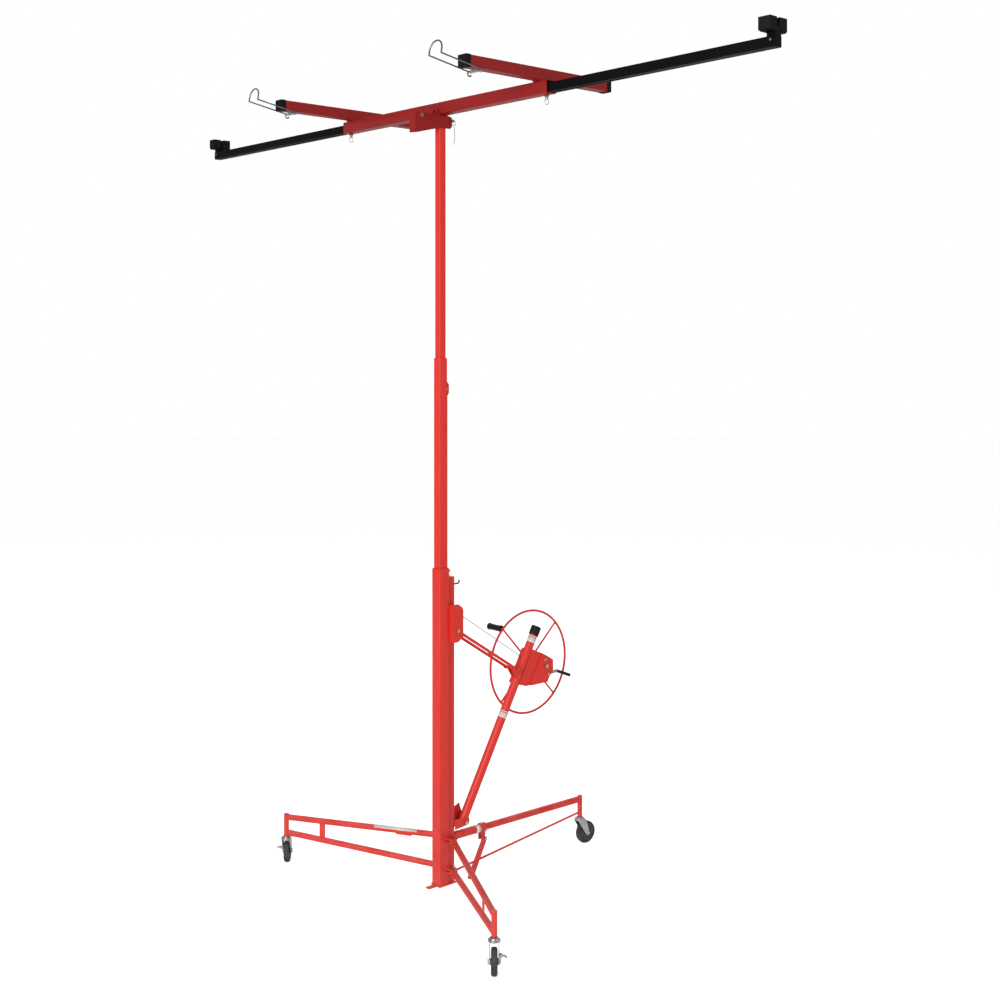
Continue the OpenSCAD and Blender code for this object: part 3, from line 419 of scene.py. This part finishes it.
RUBBER = moulded("black_rubber", (0.0055, 0.0055, 0.006), (0.03, 0.03, 0.03), rough=(0.6, 0.82), depth=0.3,
                 dust=0.05, shine=0.14)
PLASTIC = moulded("black_plastic", (0.006, 0.006, 0.0065), (0.04, 0.04, 0.04), rough=(0.36, 0.52),
                  grain=1400.0, dust=0.06, shine=0.22)
TREAD = moulded("wheel_tread", (0.016, 0.017, 0.018), (0.07, 0.068, 0.065), rough=(0.55, 0.8), grain=500.0,
                depth=0.4, dust=0.2, shine=0.25)
CORE = moulded("wheel_core", (0.035, 0.037, 0.04), (0.09, 0.09, 0.09), rough=(0.4, 0.6), grain=900.0,
               dust=0.16, shine=0.3)
BAND = moulded("label_film", (0.80, 0.79, 0.76), (0.6, 0.57, 0.53), rough=(0.3, 0.42),
               depth=0.04, dust=0.2, wear=0.5)
GREY_BAND = moulded("grey_label_film", (0.33, 0.34, 0.36), (0.5, 0.5, 0.5), rough=(0.3, 0.42),
                    depth=0.04, dust=0.2)
# The dark second colour of each rope is painted shade for the grooves between its strands
ROPE = laid_rope("wire_rope", (0.50, 0.51, 0.52), (0.06, 0.06, 0.06), 0.014, 6, 1.0, (0.28, 0.45))
CORD = laid_rope("braided_cord", (0.20, 0.20, 0.21), (0.05, 0.05, 0.05), 0.006, 4, 0.0, (0.7, 0.9), fuzz=0.3)


# ---- making pieces ----------------------------------------------------------


def piece(name, bm, material, body, smooth=35.0):
    """A mesh from a bmesh, shaded, painted and riding on its body."""
    mesh = bpy.data.meshes.new(name)
    bm.to_mesh(mesh)
    bm.free()
    mesh.shade_smooth()
    mesh.set_sharp_from_angle(angle=math.radians(smooth))
    made = bpy.data.objects.new(name, mesh)
    bpy.context.scene.collection.objects.link(made)
    mesh.materials.append(material)
    if body:
        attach(made, body)
    return made


def merged_copy(node):
    """A bmesh of a node with its loose triangles joined into flat faces."""
    bm = bmesh.new()
    bm.from_mesh(nodes[node].data)
    bmesh.ops.remove_doubles(bm, verts=bm.verts, dist=0.00002)
    bmesh.ops.dissolve_limit(bm, angle_limit=math.radians(1.2), verts=bm.verts, edges=bm.edges)
    return bm


def long_corners(bm, direction, at_least):
    """The outer long edges of a tube, the ones a roll former would round."""
    way = Vector(direction)
    found = []
    for edge in bm.edges:
        if len(edge.link_faces) != 2:
            continue
        line = edge.verts[1].co - edge.verts[0].co
        if line.length < at_least or abs(line.normalized().dot(way)) < 0.999:
            continue
        if edge.is_convex and edge.calc_face_angle(0.0) > math.radians(60):
            found.append(edge)
    return found


def dressed(node, material, edge=0.0005, corner=None, tints=()):
    """Stands a node's finished copy in its place: rounded corners, broken edges.

    corner is (direction, radius, shortest edge) for a drawn tube. tints are
    (low corner, high corner, material) boxes for what is another material."""
    bm = merged_copy(node)
    if corner:
        edges = long_corners(bm, corner[0], corner[2])
        bmesh.ops.bevel(bm, geom=edges, offset=corner[1], offset_type="OFFSET", affect="EDGES",
                        segments=5, profile=0.5, material=-1, clamp_overlap=True)
    made = piece(node + "_finished", bm, material, body_of_node[node])
    for low, high, other in tints:
        made.data.materials.append(other)
        index = len(made.data.materials) - 1
        for face in made.data.polygons:
            middle = face.center
            if all(low[i] <= middle[i] <= high[i] for i in range(3)):
                face.material_index = index
    if edge:
        soften = made.modifiers.new("broken_edges", "BEVEL")
        soften.width = edge
        soften.segments = 2
        soften.limit_method = "ANGLE"
        soften.angle_limit = math.radians(40)
        soften.use_clamp_overlap = True
        soften.harden_normals = True
    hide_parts(node)
    return made


def line_up(bm, place, direction):
    """Turns a shape made along +Z to a direction and moves it to its place."""
    turn = Vector((0, 0, 1)).rotation_difference(Vector(direction).normalized())
    bmesh.ops.transform(bm, matrix=Matrix.Translation(place) @ turn.to_matrix().to_4x4(), verts=bm.verts)


def lathe(name, outline, place, direction, material, body, steps=48, smooth=35.0):
    """Turns an outline of (radius, height) in millimetres about an axis."""
    bm = bmesh.new()
    verts = [bm.verts.new((r / 1000.0, 0, h / 1000.0)) for r, h in outline]
    edges = [bm.edges.new(pair) for pair in zip(verts, verts[1:])]
    bmesh.ops.spin(bm, geom=verts + edges, cent=(0, 0, 0), axis=(0, 0, 1), angle=2 * math.pi,
                   steps=steps, use_merge=True)
    bmesh.ops.remove_doubles(bm, verts=bm.verts, dist=0.000004)
    bmesh.ops.recalc_face_normals(bm, faces=bm.faces)
    line_up(bm, place, direction)
    return piece(name, bm, material, body, smooth)


def strand(name, points, radius, material, body, closed=False, sides=5, smooth_path=False):
    """A round rod, rope or spring along points, with its UV map in metres."""
    line = bpy.data.curves.new(name, "CURVE")
    line.dimensions = "3D"
    line.bevel_depth = radius
    line.bevel_resolution = sides
    line.use_fill_caps = True
    line.resolution_u = 6
    run = line.splines.new("NURBS" if smooth_path else "POLY")
    run.points.add(len(points) - 1)
    for knot, place in zip(run.points, points):
        knot.co = (*place, 1.0)
    run.use_cyclic_u = closed
    if smooth_path:
        run.order_u = 3
        run.use_endpoint_u = not closed
    shape = bpy.data.objects.new(name + "_line", line)
    bpy.context.scene.collection.objects.link(shape)
    mesh = bpy.data.meshes.new_from_object(shape.evaluated_get(bpy.context.evaluated_depsgraph_get()))
    mesh.name = name
    bpy.data.objects.remove(shape)
    length = sum((b - a).length for a, b in zip(points, points[1:]))
    if mesh.uv_layers:
        mesh.uv_layers[0].name = "along"
        for corner in mesh.uv_layers[0].data:
            corner.uv = (corner.uv[0] * length, corner.uv[1])
    mesh.shade_smooth()
    mesh.set_sharp_from_angle(angle=math.radians(50))
    mesh.materials.clear()
    mesh.materials.append(material)
    made = bpy.data.objects.new(name, mesh)
    bpy.context.scene.collection.objects.link(made)
    if body:
        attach(made, body)
    return made


def straight(a, b, count):
    return [a.lerp(b, i / count) for i in range(count + 1)]


def coil(place, direction, radius, height, turns, wire, name, material, body):
    """A compression spring with closed ends."""
    turn = Vector((0, 0, 1)).rotation_difference(Vector(direction).normalized())
    steps = int(turns * 20)
    points = []
    for i in range(steps + 1):
        share = i / steps
        angle = share * turns * 2 * math.pi
        rise = height * (3 * share * share - 2 * share ** 3)
        local = Vector((radius * math.cos(angle), radius * math.sin(angle), rise)) / 1000.0
        points.append(place + turn @ local)
    return strand(name, points, wire / 1000.0, material, body, sides=3)


def weld(name, points, size, material, body):
    """A bead of weld: a row of overlapping ripples along a path."""
    bm = bmesh.new()
    total = sum((b - a).length for a, b in zip(points, points[1:]))
    count = max(4, int(total / (size * 0.55 / 1000.0)))
    walk = []
    for i in range(count + 1):
        goal = total * i / count
        for a, b in zip(points, points[1:]):
            length = (b - a).length
            if goal <= length + 1e-9:
                walk.append((a.lerp(b, goal / length if length else 0), (b - a).normalized()))
                break
            goal -= length
    for i, (spot, way) in enumerate(walk):
        turn = Vector((0, 0, 1)).rotation_difference(way).to_matrix().to_4x4()
        swell = 1.0 + 0.12 * math.sin(i * 2.3)
        shape = Matrix.Translation(spot) @ turn @ Matrix.Diagonal((swell, swell, 0.55, 1.0))
        bmesh.ops.create_uvsphere(bm, u_segments=8, v_segments=6, radius=size / 1000.0 / 2, matrix=shape)
    return piece(name, bm, material, body, smooth=80)


def ring_path(place, direction, radius, count=24, start=0.0, sweep=2 * math.pi):
    turn = Vector((0, 0, 1)).rotation_difference(Vector(direction).normalized())
    angles = [start + sweep * i / count for i in range(count + 1)]
    return [place + turn @ (Vector((math.cos(a), math.sin(a), 0)) * radius / 1000.0) for a in angles]


def hex_nut(name, place, direction, across, height, material, body):
    """A chamfered hexagon nut with the end of its bolt and a washer under it."""
    bm = bmesh.new()
    bmesh.ops.create_cone(bm, cap_ends=True, segments=6, radius1=across / 1730.0, radius2=across / 1730.0,
                          depth=height / 1000.0, matrix=Matrix.Translation((0, 0, height / 2000.0)))
    rims = [e for e in bm.edges if abs(e.verts[0].co.z - e.verts[1].co.z) < 1e-6]
    bmesh.ops.bevel(bm, geom=rims, offset=height / 9000.0, offset_type="OFFSET", affect="EDGES",
                    segments=2, profile=0.5, material=-1)
    bmesh.ops.create_cone(bm, cap_ends=True, segments=28, radius1=across * 0.66 / 1000.0,
                          radius2=across * 0.66 / 1000.0, depth=0.0012,
                          matrix=Matrix.Translation((0, 0, 0.0001)))
    bmesh.ops.create_cone(bm, cap_ends=True, segments=24, radius1=across * 0.29 / 1000.0,
                          radius2=across * 0.25 / 1000.0, depth=0.003,
                          matrix=Matrix.Translation((0, 0, height / 1000.0 + 0.001)))
    line_up(bm, place, direction)
    return piece(name, bm, material, body)


def film(name, a, b, radius, material, body, cover=2 * math.pi, facing=(0, 0, 1)):
    """A plain adhesive band on a tube between two points, its middle turned to a direction."""
    axis = b - a
    bm = bmesh.new()
    verts = [bm.verts.new((radius / 1000.0, 0, h)) for h in (0.0, axis.length)]
    edge = bm.edges.new(verts)
    whole = cover > 6.2
    bmesh.ops.spin(bm, geom=verts + [edge], cent=(0, 0, 0), axis=(0, 0, 1), angle=cover, steps=40,
                   use_merge=whole)
    if not whole:
        middle = sum((v.co for v in bm.verts), Vector())
        toward = Vector((0, 0, 1)).rotation_difference(axis.normalized()).inverted() @ Vector(facing)
        angle = math.atan2(toward.y, toward.x) - math.atan2(middle.y, middle.x)
        bmesh.ops.rotate(bm, verts=bm.verts, cent=(0, 0, 0), matrix=Matrix.Rotation(angle, 3, "Z"))
    bm.normal_update()
    inward = [f for f in bm.faces if f.normal.dot(f.calc_center_median() * Vector((1, 1, 0))) < 0]
    bmesh.ops.reverse_faces(bm, faces=inward)
    line_up(bm, a, axis)
    made = piece(name, bm, material, body)
    wall = made.modifiers.new("film", "SOLIDIFY")
    wall.thickness = 0.0002
    wall.offset = 1.0
    return made


# ---- base ---------------------------------------------------------------------


def finish_base():
    dressed("outer_mast", RED, corner=((0, 0, 1), 0.003, 0.2),
            tints=[(at(-6, 30, 1342), at(6, 50, 1356), ZINC)])
    dressed("rear_post", RED, corner=((0, 0, 1), 0.0025, 0.2),
            tints=[(at(-30, 60.5, 1270), at(30, 120, 1300), BLACK)])
    dressed("mast_foot", RED)
    dressed("upper_bracket", RED, edge=0.0007)
    dressed("foot_bracket", RED, edge=0.0007)
    dressed("rear_socket", RED)
    dressed("rear_leg", RED)
    dressed("frame_bolts", ZINC, edge=0.0004,
            tints=[(at(-9, 55, 50), at(9, 90, 90), RED), (at(38, 44, 1130), at(50, 64, 1150), RED),
                   (at(38, 48, 1078), at(50, 68, 1102), YELLOW_ZINC)])
    dressed("mast_glides", NYLON)
    dressed("kick_strut", RED, edge=0.001)
    for side in SIDES:
        dressed(side + "_leg", RED)
    # Weld beads where plates meet the mast, the post and the sockets
    for side, s in SIDES.items():
        weld("upper_bracket_weld_" + side, [at(s * 17.3, 29.3, 1045), at(s * 17.3, 29.3, 1196)],
             3.2, RED, "base")
        weld("foot_bracket_weld_" + side, [at(s * 17.3, 59.7, 264), at(s * 17.3, 59.7, 284)],
             3.2, RED, "base")
    weld("socket_weld", ring_path(at(0, 60.6, 218), (0, 1, 0), 17.2), 4.0, RED, "base")
    weld("foot_plate_weld", [at(-26, -26.5, 36.5), at(26, -26.5, 36.5)], 3.5, RED, "base")
    for side, s in SIDES.items():
        weld("foot_side_weld_" + side, [at(s * 26.4, -26, 36.5), at(s * 26.4, 26, 36.5)], 3.5, RED, "base")
        body = side + "_front_leg"
        for z_eye, tag in ((218, "upper"), (92, "lower")):
            eye = on_leg(side, 27, 0, z_eye)
            tube_end = ring_path(eye, on_leg(side, 100, 0, z_eye) - eye, 12.7)
            weld("%s_%s_eye_weld" % (side, tag), tube_end, 3.4, RED, body)
    # Plain film bands
    film("socket_band", at(0, 188, 215.7), at(0, 212, 215.3), 17.12, BAND, "base")
    film("left_leg_strip", on_leg("left", 100, 0, 217.0), on_leg("left", 300, 0, 214.2), 12.62, BAND,
         "left_front_leg", cover=1.5, facing=(0.3, -0.45, 1.0))
    # Rubber foot of the kick strut
    lathe("strut_foot", [(0, 0), (8, 0), (9, 2), (9, 12), (7.5, 14), (0, 14)], at(15, 157, 27), (0, -1, 0.1),
          RUBBER, "strut")


def finish_mast():
    dressed("mid_mast", RED, corner=((0, 0, 1), 0.0025, 0.2),
            tints=[(at(-18.3, -19.3, 2178), at(18.3, 17.3, 2230.5), NYLON),
                   (at(-6, 19.2, 1000), at(6, 25, 1014.5), ZINC)])
    dressed("inner_mast", RED, corner=((0, 0, 1), 0.0022, 0.2),
            tints=[(at(-5, 14.3, 1989), at(5, 18, 2002.5), ZINC)])
    dressed("sheave_bracket", RED,
            tints=[(at(-30, 20, 2094), at(-8.2, 50, 2110), ZINC),
                   (at(8.2, 20, 2094), at(30, 50, 2110), ZINC)])
    dressed("main_sheave", NYLON)
    dressed("mid_sheave", NYLON, edge=0.0003)


def finish_ropes():
    sheave = at(0, 54, 1140)
    drum = on_tube(-30, 86.4, 702)
    lift_up = math.atan2(drum.y - sheave.y, sheave.z - drum.z)
    away = Vector((0, math.cos(lift_up), math.sin(lift_up)))
    high = sheave + away * 0.0324
    low = drum + away * 0.0276
    path = straight(low, high, 24)
    for i in range(1, 25):
        turn = lift_up + (math.pi - lift_up) * i / 24
        path.append(sheave + Vector((0, math.cos(turn), math.sin(turn))) * 0.0324)
    rope = strand("lift_rope", path, 0.0016, ROPE, None)
    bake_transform(rope)
    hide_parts("lift_cable")
    rope = strand("mid_lift_rope", straight(at(0, 21.6, 1140), at(0, 21.6, 1004), 40), 0.0016, ROPE, None)
    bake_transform(rope)
    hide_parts("mid_lift_cable")
    rope = strand("stage_rope", straight(at(0, 34.8, 1345), at(0, 34.8, MID_SHEAVE_Z), 60),
                  ROPE_RADIUS, ROPE, None)
    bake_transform(rope)
    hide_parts("stage_cable")
    rope = strand("inner_lift_rope", straight(at(0, 15.8, MID_SHEAVE_Z), at(0, 15.8, 1993), 40),
                  ROPE_RADIUS, ROPE, None)
    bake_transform(rope)
    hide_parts("inner_lift_cable")
    half_turn = [math.pi * i / 24 for i in range(25)]
    over = [at(0, 25.3 + 9.5 * math.cos(a), MID_SHEAVE_Z + 9.5 * math.sin(a)) for a in half_turn]
    strand("rope_over_sheave", over, ROPE_RADIUS, ROPE, "mast_mid")


def finish_casters():
    places = {"left": (-CASTER[0], CASTER[1], 138.0), "right": (CASTER[0], CASTER[1], 318.0),
              "rear": (0.0, REAR_CASTER_Y, 83.0)}
    for name, (x, y, yaw) in places.items():
        a = math.radians(yaw)
        ahead = Vector((math.cos(a), math.sin(a), 0))
        side = Vector((-math.sin(a), math.cos(a), 0))
        hub = at(x, y, 50) + ahead * 0.032
        dressed(name + "_fork", ZINC, edge=0.0006)
        dressed(name + "_brake", ZINC, edge=0.0005)
        # Tread, core and the bearing's dust covers
        tyre = [(37.5, -10.5), (41, -12), (45.5, -11.2), (48.6, -8.4), (49.8, -4.5), (50, 0), (49.8, 4.5),
                (48.6, 8.4), (45.5, 11.2), (41, 12), (37.5, 10.5)]
        made = lathe(name + "_tyre", tyre + [tyre[0]], hub, side, TREAD, name + "_roller", steps=64)
        core = [(5.05, -14), (12, -14), (13.5, -12), (14, -8), (31, -6.5), (34, -8.5), (37.6, -10.4),
                (37.6, 10.4), (34, 8.5), (31, 6.5), (14, 8), (13.5, 12), (12, 14), (5.05, 14)]
        lathe(name + "_core", core + [core[0]], hub, side, CORE, name + "_roller", steps=48)
        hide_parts(name + "_wheel")
        cover = [(5.1, 14), (9.6, 14), (10.8, 14.5), (10.8, 15.0), (8.8, 15.4), (5.1, 15.4), (5.1, 14)]
        for s in (-1, 1):
            lathe("%s_cover_%s" % (name, "ab"[s > 0]), cover, hub, side * s, ZINC, name + "_roller",
                  steps=32)
        # Raceway cups
        top = at(x, y, 113)
        race = [(6.1, 5.5), (20.2, 5.5), (23.3, 4), (24.2, 1), (23.6, -2.2), (21, -3.4), (6.1, -3.4),
                (6.1, 5.5)]
        lathe(name + "_race", race, top, (0, 0, 1), ZINC, name + "_caster", steps=48)


def finish_cradle():
    dressed("mast_head", DARK_RED, edge=0.0007,
            tints=[(at(-40, -130, 3220), at(-19.2, -106, 3244), ZINC),
                   (at(19.2, -130, 3220), at(40, -106, 3244), ZINC)])
    dressed("cradle_beam", DARK_RED, corner=((1, 0, 0), 0.003, 0.2))
    dressed("tilt_bracket", DARK_RED)
    dressed("cradle_bolts", ZINC)
    dressed("latch_pin", BRIGHT, edge=0.0003)
    for side, s in SIDES.items():
        reach = 1720.0 if side == "right" else 1820.0
        tip = s * (reach - 17.0)
        dressed(side + "_arm", BLACK, corner=((1, 0, 0), 0.0025, 0.2),
                tints=[(at(tip - 6, -30, 3262), at(tip + 6, -18.2, 3282), ZINC),
                       (at(tip - 6, 18.2, 3262), at(tip + 6, 30, 3282), ZINC)])
        dressed(side + "_arm_pads", RUBBER, edge=0.0025)
        x = s * CROSSARM_X
        dressed(side + "_crossarm", DARK_RED, corner=((0, 1, 0), 0.0025, 0.2),
                tints=[(at(x - 18, -341, 3289), at(x + 18, -319, 3298.9), ZINC)])
        dressed(side + "_crossarm_caps", RUBBER, edge=0.0022)
        dressed(side + "_hook", STEEL, edge=0)
        dressed(side + "_ring_pin", BRIGHT, edge=0.0003)
        pin_x = s * (CROSSARM_X + 26)
        coil(at(pin_x, 0, 3229.5), (0, 0, 1), 5.6, 6.0, 4, 0.6, side + "_pin_spring", BRIGHT,
             side + "_lock_pin")
        # The hook's far leg ends in a curl beside a small clamp spring
        curl = ring_path(at(x - 42, -331, 3286.5), (1, 0, 0), 8.0, count=22, start=math.pi, sweep=4.4)
        strand(side + "_hook_curl", curl, 0.003, STEEL, side + "_wire_hook")
        coil(at(x - 39, -330, 3294.5), (1, 0, 0), 5.2, 20.0, 8, 1.0, side + "_hook_spring", BRIGHT,
             side + "_wire_hook")
        # Washers and nuts under the crossarm clamp
        for dy in (-7.0, 7.0):
            hex_nut("%s_clamp_nut_%d" % (side, dy > 0), at(x + 12, -330 + dy, 3290.4), (0, 0, -1), 6.0, 3.0,
                    ZINC, side + "_cross")
    cord_path = [at(45.5, 34, 3198), at(45.5, 36, 3188), at(45.5, 37, 3176), at(45.5, 38, 3164),
                 at(45.5, 38, 3152), at(45.5, 37, 3140), at(45.5, 35, 3130), at(45.5, 32, 3122)]
    cord = strand("latch_cord", cord_path, 0.0012, CORD, "latch", smooth_path=True)
    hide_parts("latch_lanyard")
    return cord, cord_path


def tint_near(node, material, low, high, other):
    """Finishes a winch shaft and repaints its end outside the near plate."""
    dressed(node, material, edge=0.0003, tints=[(at(low, 0, 0), at(high, 2000, 2000), other)])


def finish_winch():
    dressed("winch_tube", RED)
    dressed("tube_cap", PLASTIC, edge=0.0008)
    dressed("winch_housing", RED, edge=0.0008)
    dressed("winch_bolts", YELLOW_ZINC, edge=0.0005, tints=[(at(-50, 391, 860), at(50, 413, 882), RED)])
    dressed("brace_bars", RED, edge=0.0006)
    tint_near("drum", ZINC, 29.45, 30.5, RED)
    dressed("hand_wheel", RED, edge=0.0006)
    tint_near("wheel_shaft", ZINC, 30.0, 40.0, YELLOW_ZINC)
    dressed("pawl", ZINC)
    dressed("leg_ring_pin", BRIGHT, edge=0.0003)
    for name, low, high, finish in (("upper_band", 804, 826, BAND), ("upper_stripe", 829, 833, BAND),
                                    ("upper_grey", 813, 815, GREY_BAND), ("lower_band", 457, 479, BAND),
                                    ("lower_stripe", 483, 487, BAND), ("lower_grey", 466, 468, GREY_BAND)):
        radius = 19.15 if "grey" in name else 19.06
        film("winch_" + name, on_tube(0, 0, low), on_tube(0, 0, high), radius, finish, "winch")
    # Grip that turns on the hand wheel's handle
    hub = on_tube(-85, 113, 742)
    grip_way = Vector((0, -math.sin(CRANK), math.cos(CRANK)))
    handle = hub + grip_way * 0.229
    outline = [(5.05, -92), (13, -92), (15, -90.5), (15.6, -87), (14.6, -83.5), (12.4, -80), (13.6, -72),
               (13.9, -62), (13.0, -52), (13.7, -42), (13.9, -32), (12.8, -22), (14.4, -16),
               (15.5, -13), (15.0, -9.5), (13.2, -8), (5.05, -8), (5.05, -92)]
    made = lathe("turning_grip", outline, handle, (1, 0, 0), PLASTIC, "grip")
    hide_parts("crank_grip")
    # Lever plate keeps its plating, the grip on it is moulded
    bm = merged_copy("brake_lever")
    grip_start, grip_end = on_tube(0, 198, 749), on_tube(0, 282, 761)
    bmesh.ops.bisect_plane(bm, geom=bm.verts[:] + bm.edges[:] + bm.faces[:], dist=1e-6,
                           plane_co=grip_start, plane_no=grip_end - grip_start)
    lever = piece("lever_plate", bm, ZINC, "lever")
    lever.data.materials.append(PLASTIC)
    far = (grip_end - grip_start).normalized()
    for face in lever.data.polygons:
        if (face.center - on_tube(0, 198, 749)).dot(far) > -0.0001:
            face.material_index = 1
    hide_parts("brake_lever")
    # Welds: spokes to rim and hub, brace lugs to the tube
    for i in range(4):
        a = CRANK + math.pi / 2 * i
        way = Vector((0, -math.sin(a), math.cos(a)))
        weld("rim_weld_%d" % i, ring_path(hub + way * 0.2235, way, 4.2, count=14), 2.6, RED, "wheel_set")
        weld("hub_weld_%d" % i, ring_path(hub + way * 0.0203, way, 4.4, count=14), 3.0, RED, "wheel_set")
    for s, x in (("a", -12.0), ("b", 12.0)):
        weld("brace_lug_weld_" + s, [on_tube(x, -15.5, 632), on_tube(x, -15.5, 684)], 3.2, RED, "winch")


def set_floor():
    bm = bmesh.new()
    bmesh.ops.create_circle(bm, cap_ends=True, segments=96, radius=30.0,
                            matrix=Matrix.Translation((0, 0, -FOOT / 1000.0)))
    material, tree, shader = blank("pale_floor")
    shader.inputs["Base Color"].default_value = (0.86, 0.86, 0.86, 1.0)
    shader.inputs["Roughness"].default_value = 0.9
    shader.inputs["Specular IOR Level"].default_value = 0.1
    shader.inputs["Emission Color"].default_value = (1.0, 1.0, 1.0, 1.0)
    seen = add(tree, "ShaderNodeLightPath")
    tree.links.new(span(tree, seen.outputs["Is Camera Ray"], 0.1, 0.62), shader.inputs["Emission Strength"])
    floor = piece("floor", bm, material, None)


set_floor()
finish_base()
finish_mast()
finish_ropes()
finish_casters()
finish_winch()
latch_cord, latch_cord_path = finish_cradle()
